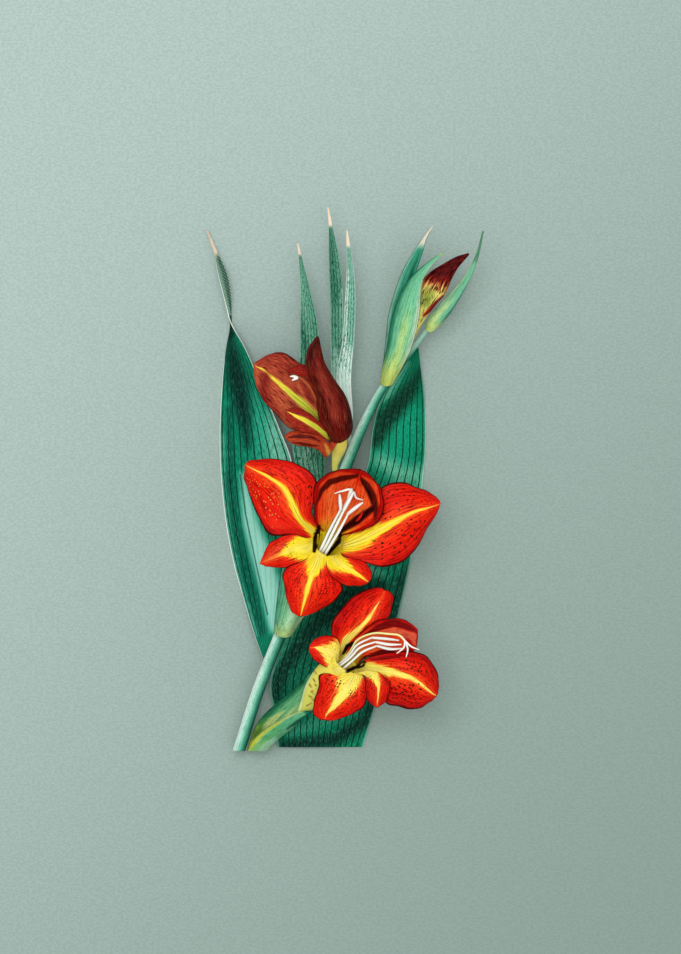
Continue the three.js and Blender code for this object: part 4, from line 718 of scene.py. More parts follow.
# The bracts
BRACT_ROWS = {
    "upper_bract_outer": [
        (-28.2,-61.8,14.6, -24.4,-62.9,20, -21.3,-62.1,15.2),
        (-28.2,-58,15.4, -23.2,-58.4,23.4, -18.8,-58,15.8),
        (-27.5,-51,17.4, -20.4,-51,26, -14.4,-51.6,17.4),
        (-26.5,-43,19.5, -17.2,-43,29, -10.4,-44,19),
        (-25.4,-36,22.5, -14.8,-36.6,33.6, -6.6,-39.8,24.4),
        (-24.2,-30.5,25.5, -19.8,-31,31.4, -16.4,-33.6,33),
        tip(-21, -25.5, 29),
    ],
    "upper_bract_inner": [
        (-24,-61.4,15.1, -22.8,-61.6,14.8, -21.6,-61.2,14.5),
        (-22.8,-52,17, -20,-52,16, -17.8,-52,16.8),
        (-19,-44,19, -16.6,-44,18, -14.2,-44.5,18.8),
        (-16,-36.5,21, -13.8,-36.5,20.2, -12,-37.2,20.8),
        tip(-11.4, -30.8, 22.2),
    ],
    "lower_bract_outer": [
        (-39.2,-108.5,6, -36,-108.5,4, -32,-108.5,4.6),
        (-36.9,-101.2,8, -32.5,-103,5.4, -28.5,-105,6.4),
        (-34,-95.9,10.5, -28,-98.5,8, -24,-101,9.2),
        (-28.8,-90.6,13.5, -23,-93.5,12, -19,-96,13),
        (-22.4,-85.3,17, -18,-88.6,14.9, -15,-91,15.4),
        (-17.2,-81,20, -15,-83.5,18, -12.8,-86,18),
        tip(-13.8, -77.4, 21.4, 0.5, -0.5),
    ],
    "lower_bract_inner": [
        (-39,-108.4,7.4, -35,-108.5,10.4, -31,-108.4,6),
        (-36.3,-104,11, -31.5,-105,14.4, -27.6,-104.6,10),
        (-31.5,-99.8,14.6, -27.4,-101,18.4, -24,-101.6,12.8),
        (-25.6,-96,18.8, -22.3,-97.4,22, -19.6,-98,17.4),
        (-19.4,-93.1,22.6, -17.6,-94.3,24, -16.6,-94.9,22),
        tip(-13.2, -92.4, 24, 0.4, -0.9),
    ],
    "bud_bract_outer": [
        (14.2,39,14.2, 16.4,38.6,14.4, 18.6,39.4,14.2),
        (15.2,46,15.6, 18.6,46,15, 22,46.5,15.6),
        (16.3,56,17, 20.2,56,15.8, 24,56,17),
        (17.4,66,18, 21.5,65.6,16.6, 25.6,65.4,18),
        (19.9,75.4,19, 23.6,75,17.8, 27,74.6,19),
        (23.2,84,20, 26,83.4,19, 28.4,83,20),
        (27.2,91,21, 29.2,90.6,20.4, 30.9,90.6,21),
        (31.4,97.2,22, 32.2,96.8,21.8, 32.6,96.4,22),
        tip(35.1, 101.6, 23, 0.8, -0.6),
    ],
    "bud_bract_inner": [
        (14.2,38.4,15.4, 16.5,37.6,19, 19,38.4,15.4),
        (14.9,44.5,17.4, 18.3,44,22.6, 22.2,44,19.4),
        (16.6,52,18.8, 21,51.5,25, 26,51.5,22.4),
        (17.8,60,19.6, 23,59.6,27, 28.4,59.4,25),
        (19.6,68,20.4, 24.8,67.6,28.6, 29.8,67.4,26.6),
        (22.2,74.8,21.4, 26.8,74.6,28.8, 30.2,74.2,27.4),
        (26,80.8,23, 29,80.2,28.2, 31.2,80.2,27),
        (31,85.4,24.5, 32.4,84.8,27, 33.9,84.8,26.6),
        (36.2,89.2,25.5, 36.8,88.9,26, 37,88.6,25.8),
        tip(39.4, 90.8, 25.8, 0.7, -0.7),
    ],
    "tip_bract": [
        (32.2,61,15.4, 33.8,59.3,16.4, 36,60.4,15.4),
        (33.6,65,16.2, 36.6,64,18.4, 39.4,63.4,16.4),
        (38,70.3,17.6, 41,69,20, 43.2,68.4,18),
        (43.4,76.2,19.2, 45.6,75,21.2, 47.4,75.4,19.5),
        (48.2,82.2,21, 49.8,81.6,22.3, 50.6,82,21),
        (52.4,90,22.5, 52.9,89.8,23, 53.4,89.6,22.5),
        tip(55.3, 99.6, 24, 1, -0.2),
    ],
}

# Painted patches of the bracts
BRACT_STROKES = {
    "lower_bract_outer": [
        ((74, 110, 50), 0.7, 1, (-39.5,-105.5,0.8), (-35.5,-101.5,2), (-31.5,-98,0.6)),
        ((228, 230, 150), 0.85, 1.2, (-33,-99.5,0.5), (-29.5,-96.6,2.8), (-24.5,-92.5,0.6)),
    ],
    "lower_bract_inner": [
        ((172, 216, 188), 0.85, 1.6, (-33.9,-108,4), (-28.1,-104,2)),
        ((104, 172, 84), 0.6, 1.8, (-36.2,-108,2.2), (-29,-101.8,1.2), (-26,-99.8,0.3)),
        ((212, 212, 70), 0.85, 1.2, (-40.1,-108.4,2.4), (-32.1,-101,1.2), (-25.5,-96.8,0.6)),
        # Painted shade near the tip of the bract
        ((8, 84, 66), 0.9, 0.8, (-23,-99.4,0.6), (-19,-96.8,1.5), (-13.5,-93.3,1.2)),
    ],
}

# Each bract: the colours of its body, base, left side, right side, stripe and tip, then where the
# stripe lies across, how far up it reaches, where the tip starts and where the base ends
BRACT_LOOKS = {
    "upper_bract_outer": (
        (140, 204, 152), (192, 216, 142), (90, 176, 140), (206, 230, 180), (190, 232, 190),
        (206, 230, 150), 0.1, 0.7, 0.85, 0.26,
    ),
    "upper_bract_inner": (
        BRACT_GREEN, LIME, (60, 150, 110), PALE_MINT, MINT,
        PALE_LIME, 0, 0.4, 0.9, 0.26,
    ),
    "lower_bract_outer": (
        (120, 192, 138), (206, 214, 70), (30, 110, 76), (150, 196, 130), (222, 230, 160),
        BRACT_GREEN, 0.35, 0.8, 0.9, 0.45,
    ),
    "lower_bract_inner": (
        (104, 182, 134), (176, 206, 130), (224, 232, 150), (120, 188, 140), (86, 166, 124),
        (20, 104, 80), -0.3, 0.9, 0.9, 0.3,
    ),
    # The outer bud bract's dark stripe, near its right side, is painted shadow
    "bud_bract_outer": (
        (60, 160, 128), TEAL, (140, 200, 176), (60, 160, 128), (8, 84, 66),
        (254, 238, 222), 0.45, 0.9, 0.82, 0.26,
    ),
    "bud_bract_inner": (
        (128, 210, 164), (220, 230, 120), (36, 132, 100), (220, 240, 206), (186, 220, 140),
        (176, 206, 140), 0.12, 0.52, 0.93, 0.26,
    ),
    "tip_bract": (
        (130, 204, 164), (214, 232, 140), (206, 234, 190), (52, 140, 106), (214, 236, 160),
        (96, 150, 116), -0.35, 0.5, 0.8, 0.26,
    ),
}


# Curves and ring frames

def spline(points, t):
    """The smooth curve through the points, at each t from 0 to 1."""
    points = np.asarray(points, float)
    last = len(points) - 1
    place = np.clip(t, 0, 1) * last
    index = np.minimum(place.astype(int), last - 1)
    part = (place - index)[..., None]
    ends = np.vstack([2 * points[0] - points[1], points, 2 * points[-1] - points[-2]])
    p0, p1, p2, p3 = (ends[index + k] for k in range(4))
    return 0.5 * (
        2 * p1 + (p2 - p0) * part
        + (2 * p0 - 5 * p1 + 4 * p2 - p3) * part ** 2
        + (3 * p1 - p0 - 3 * p2 + p3) * part ** 3
    )


def unit(vectors):
    return vectors / np.maximum(np.linalg.norm(vectors, axis=-1, keepdims=True), 1e-9)


def ring_frames(path, t):
    """Centre, side and up of the ring at each t. The side axis stays as near to +X as it can."""
    reach = 0.02
    centre = spline(path, t)
    along = unit(spline(path, np.minimum(t + reach, 1)) - spline(path, np.maximum(t - reach, 0)))
    side = unit(np.array([1.0, 0, 0]) - along[:, :1] * along)
    return centre, side, np.cross(along, side)


def radius_at(radii, t):
    return spline([[value] for value in radii], t)[:, 0]


def ring_point(path, t, radius, degrees):
    centre, side, up = ring_frames(path, np.array([float(t)]))
    turn = math.radians(degrees)
    return (centre + radius * (math.cos(turn) * side + math.sin(turn) * up))[0]


def tube_rows(tube, angle, spread):
    """The two lowest rows of a tepal, in the wall of its tube's mouth."""
    rows = []
    for t in TEPAL_ROOTS:
        radius = radius_at(tube["radii"], np.array([float(t)]))[0] - THROAT_WALL / 2
        turns = (angle + spread, angle, angle - spread)
        rows.append([ring_point(tube["path"], t, radius, turn) for turn in turns])
    return rows


# Fine meshes

class Skin:
    """Points, faces and per-point values of one piece, gathered part by part."""

    NAMES = ("paint", "grain", "lanes", "dark_dots", "pale_dots", "big_dots", "calm")
    KINDS = {"paint": ("FLOAT_COLOR", "color"), "grain": ("FLOAT_VECTOR", "vector")}

    def __init__(self):
        self.points = []
        self.faces = []
        self.smooth = []
        self.values = {name: [] for name in self.NAMES}
        self.count = 0

    def add(self, points, face_groups, shades, **values):
        """Adds a part. Its first group of faces is smooth and the others, its edges, are flat."""
        self.points.append(points)
        for number, faces in enumerate(face_groups):
            self.faces.extend((faces + self.count).tolist())
            self.smooth.extend([number == 0] * len(faces))
        values["paint"] = np.column_stack([as_light(shades), np.ones(len(points))])
        for name, gathered in self.values.items():
            value = values.get(name, 0.0)
            gathered.append(np.broadcast_to(value, np.shape(value) or len(points)))
        self.count += len(points)

    def piece(self, name, node, slot, material):
        """Makes the object that stands for a CAD node."""
        mesh = bpy.data.meshes.new(name)
        mesh.from_pydata((np.vstack(self.points) * MM).tolist(), [], self.faces)
        for value_name, gathered in self.values.items():
            kind, field = self.KINDS.get(value_name, ("FLOAT", "value"))
            made = mesh.attributes.new(value_name, kind, "POINT")
            made.data.foreach_set(field, np.concatenate(gathered).astype(np.float32).ravel())
        mesh.polygons.foreach_set("use_smooth", self.smooth)
        mesh.materials.append(material)
        mesh.update()
        piece = bpy.data.objects.new(name, mesh)
        bpy.context.scene.collection.objects.link(piece)
        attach(piece, "root")
        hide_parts(node)


def grain_of(across, along, seed):
    """Where the fine streaks and specks of a material lie on a piece."""
    return np.stack([across, along, np.full(len(across), seed)], -1)


def grid_faces(rows, columns, start=0, wrap=False):
    """Quads of a grid of points, joined round when it wraps."""
    row = np.arange(rows - 1)[:, None] * columns
    column = np.arange(columns if wrap else columns - 1)[None, :]
    a = row + column
    b = row + (column + 1) % columns
    return np.stack([a, b, b + columns, a + columns], -1).reshape(-1, 4) + start


def blade_surface(rows, u, v, lowest):
    rows = np.reshape(rows, (-1, 3, 3))
    left, rib, right = (spline(rows[:, k], u)[:, None, :] for k in range(3))
    share = v[None, :, None]
    points = rib + (right - left) * share / 2 + ((left + right) / 2 - rib) * share ** 2
    points[..., 2] = np.maximum(points[..., 2], lowest)
    return points


def blade_faces(steps, columns):
    """The faces of a blade's two sides, and those of the wall round its rim."""
    width, length = columns + 1, steps + 1
    count = width * length
    sides = np.vstack([grid_faces(length, width), grid_faces(length, width, count)[:, ::-1]])
    rim = np.concatenate([
        np.arange(0, width), np.arange(2 * width - 1, count, width),
        np.arange(count - 2, count - width - 1, -1), np.arange(count - 2 * width, 0, -width),
    ])
    onward = np.roll(rim, -1)
    return [sides, np.stack([rim, rim + count, onward + count, onward], -1)]


def blade_parts(rows, grid, thickness, lowest=0, ruffle=0, waves=6, crease=0, ridges=0, ridge=0, phase=0):
    """The closed mesh of a thin blade, with a waved margin, a creased rib and fine ridges."""
    steps, columns = grid
    u = np.linspace(0, 1, steps + 1)
    v = np.linspace(-1, 1, columns + 1)
    surface = blade_surface(rows, u, v, lowest)
    normal = unit(np.cross(np.gradient(surface, axis=1), np.gradient(surface, axis=0)))
    U, V = np.meshgrid(u, v, indexing="ij")
    wave = np.sin(waves * 2 * math.pi * U + phase + V)
    wave = wave + 0.5 * np.sin(waves * 3.7 * math.pi * U + 2 * phase)
    rise = ruffle * wave * np.abs(V) ** 3 * np.sin(math.pi * U)
    rise = rise - crease * np.exp(-(V / CREASE_WIDTH) ** 2) * np.sin(math.pi * U)
    rise = rise + ridge * np.cos(ridges * math.pi * V) * (1 - V ** 6)
    surface = surface + rise[..., None] * normal
    half = thickness / 2 * (1 - (1 - MARGIN_SHARE) * V ** 4)
    upper = surface + half[..., None] * normal
    lower = surface - half[..., None] * normal
    upper[..., 2] = np.maximum(upper[..., 2], TOP_LOWEST)
    lower[..., 2] = np.maximum(lower[..., 2], 0)
    points = np.vstack([upper.reshape(-1, 3), lower.reshape(-1, 3)])
    groups = blade_faces(steps, columns)
    if signed_volume(points, np.vstack(groups)) < 0:
        groups = [faces[:, ::-1] for faces in groups]
    return points, groups, np.tile(U.ravel(), 2), np.tile(V.ravel(), 2)


def signed_volume(points, faces):
    a, b, c, d = (points[faces[:, k]] for k in range(4))
    first = np.einsum("ij,ij->i", a, np.cross(b, c))
    second = np.einsum("ij,ij->i", a, np.cross(c, d))
    return (first + second).sum() / 6


def rings_round(path, t, radius, sides):
    """Rings of points round the path at each t, and the turn of each of their points."""
    centre, side, up = ring_frames(path, t)
    turn = np.linspace(0, 2 * math.pi, sides, endpoint=False)
    circle = np.cos(turn)[:, None] * side[:, None] + np.sin(turn)[:, None] * up[:, None]
    return centre[:, None] + radius[:, None, None] * circle, turn


def closed_rings(rings):
    """The points and faces of a skin round the rings, with a flat cap at each end."""
    count, sides = rings.shape[:2]
    points = np.vstack([rings.reshape(-1, 3), rings[0].mean(0), rings[-1].mean(0)])
    ring = np.arange(sides)
    onward = np.roll(ring, -1)
    first, last, end = count * sides, count * sides + 1, (count - 1) * sides
    start_cap = np.stack([onward, ring, np.full(sides, first)], -1)
    end_cap = np.stack([end + ring, end + onward, np.full(sides, last)], -1)
    return points, [grid_faces(count, sides, wrap=True), start_cap, end_cap]


def ring_values(t, turn):
    """For each point of closed rings, its place along them and its turn round them."""
    along = np.append(np.repeat(t, len(turn)), [t[0], t[-1]])
    around = np.append(np.tile(turn, len(t)), [0, 0])
    return along, around


# Colours

def as_light(shade):
    """The amounts of light that a displayed colour stands for."""
    shade = np.asarray(shade) / 255
    return np.where(shade <= 0.04045, shade / 12.92, ((np.maximum(shade, 0) + 0.055) / 1.055) ** 2.4)


def ease(low, high, value):
    """0 below low, 1 above high and a smooth rise between them."""
    share = np.clip((value - low) / (high - low), 0, 1)
    return share * share * (3 - 2 * share)


def mix(first, second, share):
    share = np.asarray(share, float)[..., None]
    return np.asarray(first) * (1 - share) + np.asarray(second) * share


def ramp(value, stops):
    """The colour at each value, between the colours of the stops."""
    places = [place for place, _ in stops]
    channels = [np.interp(value, places, [shade[k] for _, shade in stops]) for k in range(3)]
    return np.stack(channels, -1)


def ripple(value, seed):
    """A smooth, repeatable wander between about -1 and 1."""
    total = np.zeros_like(value, float)
    for octave in range(4):
        rate = 1.7 ** octave
        total += np.sin(value * rate * 2 * math.pi + seed * 12.9898 * (octave + 1)) / rate
    return total / 1.9


def patches_of(value, seed):
    """The same wander between about 0 and 1."""
    return 0.5 + 0.5 * ripple(value, seed)


def fine_lines(turn, power):
    """Thin lines where the cosine of the turn is near 1."""
    return (0.5 + 0.5 * np.cos(turn)) ** power


def stroke(points, line, soft):
    """How far each point lies inside a stroke along a line of x, y and width, seen from above."""
    flat = points[:, :2]
    line = np.asarray(line, float)
    beyond = np.full(len(flat), np.inf)
    for start, end in zip(line[:-1], line[1:]):
        run = (end - start)[:2]
        share = np.clip(((flat - start[:2]) @ run) / (run @ run), 0, 1)
        gap = np.linalg.norm(flat - start[:2] - share[:, None] * run, axis=1)
        beyond = np.minimum(beyond, gap - (start[2] + (end[2] - start[2]) * share) / 2)
    return 1 - ease(-soft / 2, soft / 2, beyond)


def painted(shades, points, strokes, share=1):
    """Lays the strokes over the shades."""
    for shade, strength, soft, *line in strokes:
        shades = mix(shades, shade, strength * share * stroke(points, line, soft))
    return shades


def inked(shades, u, v, sides, end, share=1):
    """Draws the dark margin of a tepal, along its sides and round its tip."""
    return mix(shades, INK, share * np.maximum(ease(*sides, np.abs(v)), ease(*end, u)))


# Materials

class Graph:
    """A material's nodes, made one call at a time."""

    def __init__(self, name):
        self.material = bpy.data.materials.new(name)
        self.material.use_nodes = True
        self.tree = self.material.node_tree
        self.shader = self.tree.nodes["Principled BSDF"]

    def feed(self, socket, value):
        if isinstance(value, bpy.types.NodeSocket):
            self.tree.links.new(value, socket)
        else:
            socket.default_value = value

    def node(self, kind, values, **settings):
        """A node with these settings, and with values or links at its inputs, by number or name."""
        made = self.tree.nodes.new(kind)
        for key, value in settings.items():
            setattr(made, key, value)
        for key, value in values.items():
            self.feed(made.inputs[key], value)
        return made

    def value(self, name, output="Fac"):
        return self.node("ShaderNodeAttribute", {}, attribute_name=name).outputs[output]

    def math(self, operation, first, second):
        return self.node("ShaderNodeMath", {0: first, 1: second}, operation=operation).outputs[0]

    def product(self, first, second):
        return self.math("MULTIPLY", first, second)

    def noise(self, vector, scale, detail, rough=0.5):
        """Noise that is finer by the scale's amount in each direction."""
        scaled = self.node("ShaderNodeVectorMath", {0: vector, 1: scale}, operation="MULTIPLY").outputs[0]
        values = {"Vector": scaled, "Scale": 1.0, "Detail": detail, "Roughness": rough}
        return self.node("ShaderNodeTexNoise", values).outputs["Fac"]

    def span(self, value, low, high, to_low=0.0, to_high=1.0):
        values = dict(enumerate((value, low, high, to_low, to_high)))
        return self.node("ShaderNodeMapRange", values, interpolation_type="SMOOTHSTEP").outputs["Result"]

    def blend(self, share, first, second, kind="MIX"):
        """Blends two colours, each a socket or displayed red, green and blue."""
        made = self.node("ShaderNodeMix", {0: share}, data_type="RGBA", blend_type=kind)
        sockets = [s for s in made.inputs if s.enabled and s.type == "RGBA"]
        for socket, shade in zip(sockets, (first, second)):
            if isinstance(shade, tuple):
                shade = (*as_light(shade).tolist(), 1.0)
            self.feed(socket, shade)
        return [s for s in made.outputs if s.enabled and s.type == "RGBA"][0]

    def spots(self, vector, scale, radius, share):
        """Round dots in a random share of the cells of a loose grid."""
        values = {"Vector": vector, "Scale": scale}
        cells = self.node("ShaderNodeTexVoronoi", values, feature="F1", voronoi_dimensions="2D")
        near = self.span(cells.outputs["Distance"], radius, radius * 0.6)
        parts = self.node("ShaderNodeSeparateColor", {0: cells.outputs["Color"]})
        return self.product(near, self.math("LESS_THAN", parts.outputs[0], share))

    def bump(self, height, strength, depth_mm):
        values = {"Height": height, "Strength": strength, "Distance": depth_mm * MM}
        self.feed(self.shader.inputs["Normal"], self.node("ShaderNodeBump", values).outputs["Normal"])

    def surface(self, base, roughness, subsurface=0.0):
        values = {
            "Base Color": base,
            "Roughness": roughness,
            "Specular IOR Level": 0.05,
            "Subsurface Weight": subsurface,
            "Subsurface Scale": 0.6 * MM,
            "Subsurface Radius": (1, 0.5, 0.25),
        }
        for name, value in values.items():
            self.feed(self.shader.inputs[name], value)
        return self.material


def streaked(graph, dark, light, fine, depth, length=0.12, speckle=0.5):
    """The paint with fine streaks along the piece and small specks, darker and lighter than it."""
    grain = graph.value("grain", "Vector")
    kept = graph.math("SUBTRACT", 1.0, graph.value("calm"))
    threads = graph.noise(grain, (fine, fine * length, 1.0), 3.0, 0.55)
    specks = graph.noise(grain, (fine * 1.2, fine * 0.8, 1.0), 2.0, 0.6)
    shaded = graph.product(graph.span(threads, 0.52, 0.38, 0.0, depth), kept)
    base = graph.blend(shaded, graph.value("paint", "Color"), dark, "MULTIPLY")
    lit = graph.product(graph.span(threads, 0.52, 0.66, 0.0, depth * 0.6), kept)
    base = graph.blend(lit, base, light, "SCREEN")
    dotted = graph.product(graph.span(specks, 0.5, 0.34, 0.0, speckle), kept)
    return graph.blend(dotted, base, dark, "MULTIPLY"), threads


def tepal_material():
    graph = Graph("tepal_velvet")
    base, threads = streaked(graph, (176, 70, 60), (60, 40, 10), 1.7, 0.85)
    grain = graph.value("grain", "Vector")
    dark = graph.product(graph.spots(grain, 0.6, 0.19, 0.8), graph.value("dark_dots"))
    pale = graph.product(graph.spots(grain, 0.75, 0.15, 0.8), graph.value("pale_dots"))
    big = graph.product(graph.spots(grain, 0.66, 0.26, 0.9), graph.value("big_dots"))
    base = graph.blend(graph.math("MAXIMUM", dark, big), base, (40, 16, 4))
    base = graph.blend(pale, base, (214, 160, 66))
    graph.bump(threads, 0.5, 0.25)
    return graph.surface(base, graph.span(threads, 0.3, 0.7, 0.5, 0.36), 0.06)


def leaf_material(name, depth, speckle):
    graph = Graph(name)
    base, threads = streaked(graph, (90, 155, 135), (60, 138, 114), 2.8, depth, 0.3, speckle)
    beside = graph.math("PINGPONG", graph.value("lanes"), 0.5)
    veins = graph.span(beside, 0.1, 0.04)
    wander = graph.noise(graph.value("grain", "Vector"), (0.8, 0.03, 1.0), 2.0)
    drawn = graph.product(veins, graph.span(wander, 0.1, 0.35))
    drawn = graph.product(drawn, graph.math("SUBTRACT", 1.0, graph.value("calm")))
    base = graph.blend(drawn, base, (2, 34, 26))
    graph.bump(graph.math("SUBTRACT", threads, graph.product(veins, 0.8)), 0.55, 0.3)
    return graph.surface(base, graph.span(threads, 0.3, 0.7, 0.56, 0.42), 0.03)


def smooth_material(name, dark, light, fine, depth, bump):
    graph = Graph(name)
    base, threads = streaked(graph, dark, light, fine, depth)
    graph.bump(threads, bump, 0.2)
    return graph.surface(base, graph.span(threads, 0.3, 0.7, 0.5, 0.4), 0.05)


def pollen_material():
    graph = Graph("anther_powder")
    powder = graph.noise(graph.value("grain", "Vector"), (4.0, 4.0, 4.0), 3.0, 0.7)
    dusted = graph.span(powder, 0.6, 0.35, 0.0, 0.5)
    base = graph.blend(dusted, graph.value("paint", "Color"), (196, 194, 170))
    graph.bump(powder, 0.8, 0.2)
    return graph.surface(base, graph.span(powder, 0.3, 0.7, 0.9, 0.7))


def floor_material():
    """Pale sage paper, with painted light: a little lighter towards the upper left and darker towards the
    lower right.
    """
    graph = Graph("sage_paper")
    place = graph.node("ShaderNodeTexCoord", {}).outputs["Object"]
    parts = graph.node("ShaderNodeSeparateXYZ", {0: place})
    # Painted light: the floor's colour runs from shaded at the lower right to lit at the upper left
    slope = graph.math("SUBTRACT", graph.product(parts.outputs["Y"], 0.9), parts.outputs["X"])
    base = graph.blend(graph.span(slope, -0.36, 0.36), FLOOR_SHADED, FLOOR_LIT)
    fibres = graph.noise(place, (900.0, 1500.0, 900.0), 2.0)
    base = graph.blend(graph.span(fibres, 0.35, 0.65, 0.0, 0.2), base, FLOOR_FIBRE)
    graph.bump(fibres, 0.08, 0.1)
    return graph.surface(base, 0.85)


# Tepals and tubes

# Half widths of the yellow rib, as shares of the tepal's own half width, are given at these places
RIB_PLACES = [0, 0.11, 0.17, 0.22, 0.33, 0.45, 0.6, 0.85, 1]


def tepal_colours(u, v, seed, look, gold):
    """A scarlet tepal: yellow throat and rib, orange beside them and crimson margins."""
    off_rib = np.abs(v)
    fringe = 0.1 * ripple(v * 4 + u, seed) + 0.09 * ripple(v * 13 + u * 2, seed + 3)
    width = np.interp(u, RIB_PLACES, look["rib"])
    uneven = off_rib + fringe * np.clip(width * 2.4, 0.05, 1)
    yellow = (1 - ease(width * 0.7, width * 1.1 + 0.015, uneven)) * ease(0, 0.02, width)
    warm = 1 - ease(width, width + 0.4, uneven)
    patches = patches_of(v * 1.4 + u * 1.1, seed + 5)
    red = mix(SCARLET, CRIMSON, look["deep"] * (ease(0.35, 1, off_rib) + 0.35 * patches))
    red = mix(red, FLAME, 0.6 * warm + 0.15 * (1 - patches))
    gold = mix(gold, PALE_YELLOW, 0.6 * (1 - ease(0, 0.6, off_rib / np.maximum(width, 0.05))))
    lines = fine_lines(TEPAL_LINES * math.pi * v, 10) * (1 - ease(0.26, 0.42, u))
    gold = mix(gold, OLIVE, 0.7 * lines)
    shades = inked(mix(red, gold, yellow), u, v, (0.945, 0.98), (0.98, 0.995), ease(0.2, 0.3, u))
    return shades, yellow


def hood_colours(u, v, seed):
    """The upper tepal, seen from inside: an orange lining with a red rim."""
    edge = np.maximum(np.abs(v), 0.18 + 0.9 * u)
    patches = patches_of(v * 2 + u * 1.3, seed)
    lining = mix(ORANGE, SCARLET, 0.25 * patches + 0.4 * ease(0.5, 0.8, edge))
    lining = mix(lining, YELLOW, 0.8 * (1 - ease(0.16, 0.34, u)))
    shades = mix(lining, CRIMSON, ease(0.84, 0.9, edge))
    return inked(shades, u, v, (0.96, 0.99), (0.985, 1)), 0.3


def half_open_colours(u, v, seed, look):
    """A duller tepal of the half-open flower: brick red or maroon, with or without a yellow rib."""
    fringe = 0.08 * ripple(v * 5 + u, seed) + 0.06 * ripple(v * 15 + u * 2, seed + 3)
    width = np.interp(u, RIB_PLACES, look.get("rib", [0] * len(RIB_PLACES)))
    uneven = np.abs(v) + fringe * np.clip(width * 2, 0.1, 1)
    yellow = (1 - ease(width * 0.65, width * 1.1 + 0.015, uneven)) * (width > 0.005)
    patches = patches_of(v * 2.2 + u * 1.6, seed + 5)
    turned = 0.25 + 0.5 * ease(-0.2, 0.9, v) + 0.4 * (patches - 0.5)
    red = mix(look["first"], look["second"], np.clip(turned, 0, 1))
    gold = mix(mix(YELLOW, PALE_YELLOW, 0.3), LIME, 0.75 * (1 - ease(0.3, 0.75, u)))
    lines = fine_lines(HALF_OPEN_LINES * math.pi * v, 10) * (1 - ease(0.35, 0.6, u))
    gold = mix(gold, OLIVE, 0.8 * lines)
    return inked(mix(red, gold, yellow), u, v, (0.955, 0.99), (0.985, 1)), yellow


def add_tube(skin, flower):
    """The flower's tube: its outside up to the mouth, and its lining down to the floor."""
    tube, strokes = flower["tube"], flower["strokes"]
    t_out = np.linspace(0, 1, TUBE_STEPS + 1)
    t_in = np.linspace(1, tube["floor"], LINING_STEPS + 1)
    t = np.concatenate([t_out, t_in])
    wall = THROAT_WALL * (BASE_WALL_SHARE + (1 - BASE_WALL_SHARE) * t_in)
    out_inset = MOUTH_INSET * ease(0.75, 1, t_out)
    inset = np.concatenate([out_inset, wall - LINING_FLARE * ease(0.75, 1, t_in)])
    rings, turn = rings_round(tube["path"], t, radius_at(tube["radii"], t) - inset, TUBE_SIDES)
    points, faces = closed_rings(rings)
    share, around = ring_values(t, turn)
    inside = ring_values(np.arange(len(t)) > TUBE_STEPS, turn)[0]
    outer = painted(ramp(share, flower["outside"]), points, strokes.get("tube", []))
    lines = fine_lines(LINING_LINES * around, 6)
    # Painted shade: the lining darkens deeper down the tube
    throat_shade = 1 - ease(0.6, 0.9, share)
    lining = mix(flower["lining"], OLIVE, 0.5 * lines + 0.3 * throat_shade * (1 - lines))
    lining = painted(lining, points, strokes.get("throat", []))
    shades = np.where(inside[:, None], lining, outer)
    skin.add(points, faces, shades, grain=grain_of(around * 5, share * 30, flower["seed"] * 11), calm=0.9)


def add_tepal(skin, flower, index, look, rows):
    seed = flower["seed"] + index
    strokes = flower["strokes"]
    rows = np.vstack([tube_rows(flower["tube"], *look["root"]), np.reshape(rows, (-1, 3, 3))])
    flare = look.get("flare", 0) * np.linspace(1, 0, len(rows))[:, None, None] ** 2
    rows = rows[:, 1:2] + (rows - rows[:, 1:2]) * (look.get("gain", 1) + flare)
    phase = seed * 1.7
    points, faces, u, v = blade_parts(rows, PETAL_GRID, PETAL_THICKNESS, phase=phase, **flower["shape"])
    if "first" in look:
        shades, calm = half_open_colours(u, v, seed, look)
    elif "hood" in look:
        shades, calm = hood_colours(u, v, seed)
    else:
        shades, calm = tepal_colours(u, v, seed, look, flower["lining"])
    shades = painted(shades, points, strokes.get("throat", []) + strokes.get(index, []))
    off_rib = np.abs(v)
    open_part = ease(0.3, 0.45, u) * (1 - ease(0.82, 0.95, u)) * (1 - ease(0.75, 0.9, off_rib))
    dark = np.minimum(1, 1.5 * look.get("dark", 0) * open_part * ease(0.1, 0.2, off_rib))
    pale = look.get("pale", 0) * open_part * ease(0.12, 0.3, -v)
    dark = dark * (1 - 0.9 * (pale > 0.3))
    big = np.zeros(len(u))
    for which, *line in flower["dense"]:
        if which == index:
            big = np.maximum(big, stroke(points, line, 2))
    skin.add(points, faces, shades, grain=grain_of(v * 12, u * 34, seed * 13), calm=0.75 * calm,
             dark_dots=dark, pale_dots=pale, big_dots=big)


def add_flower(name, slot, material):
    flower = FLOWERS[name]
    skin = Skin()
    add_tube(skin, flower)
    for index, (look, *rows) in enumerate(flower["tepals"]):
        add_tepal(skin, flower, index, look, rows)
    skin.piece(name + "_bloom", name + "_perianth", slot, material)


# Leaves, bracts, stem and bud

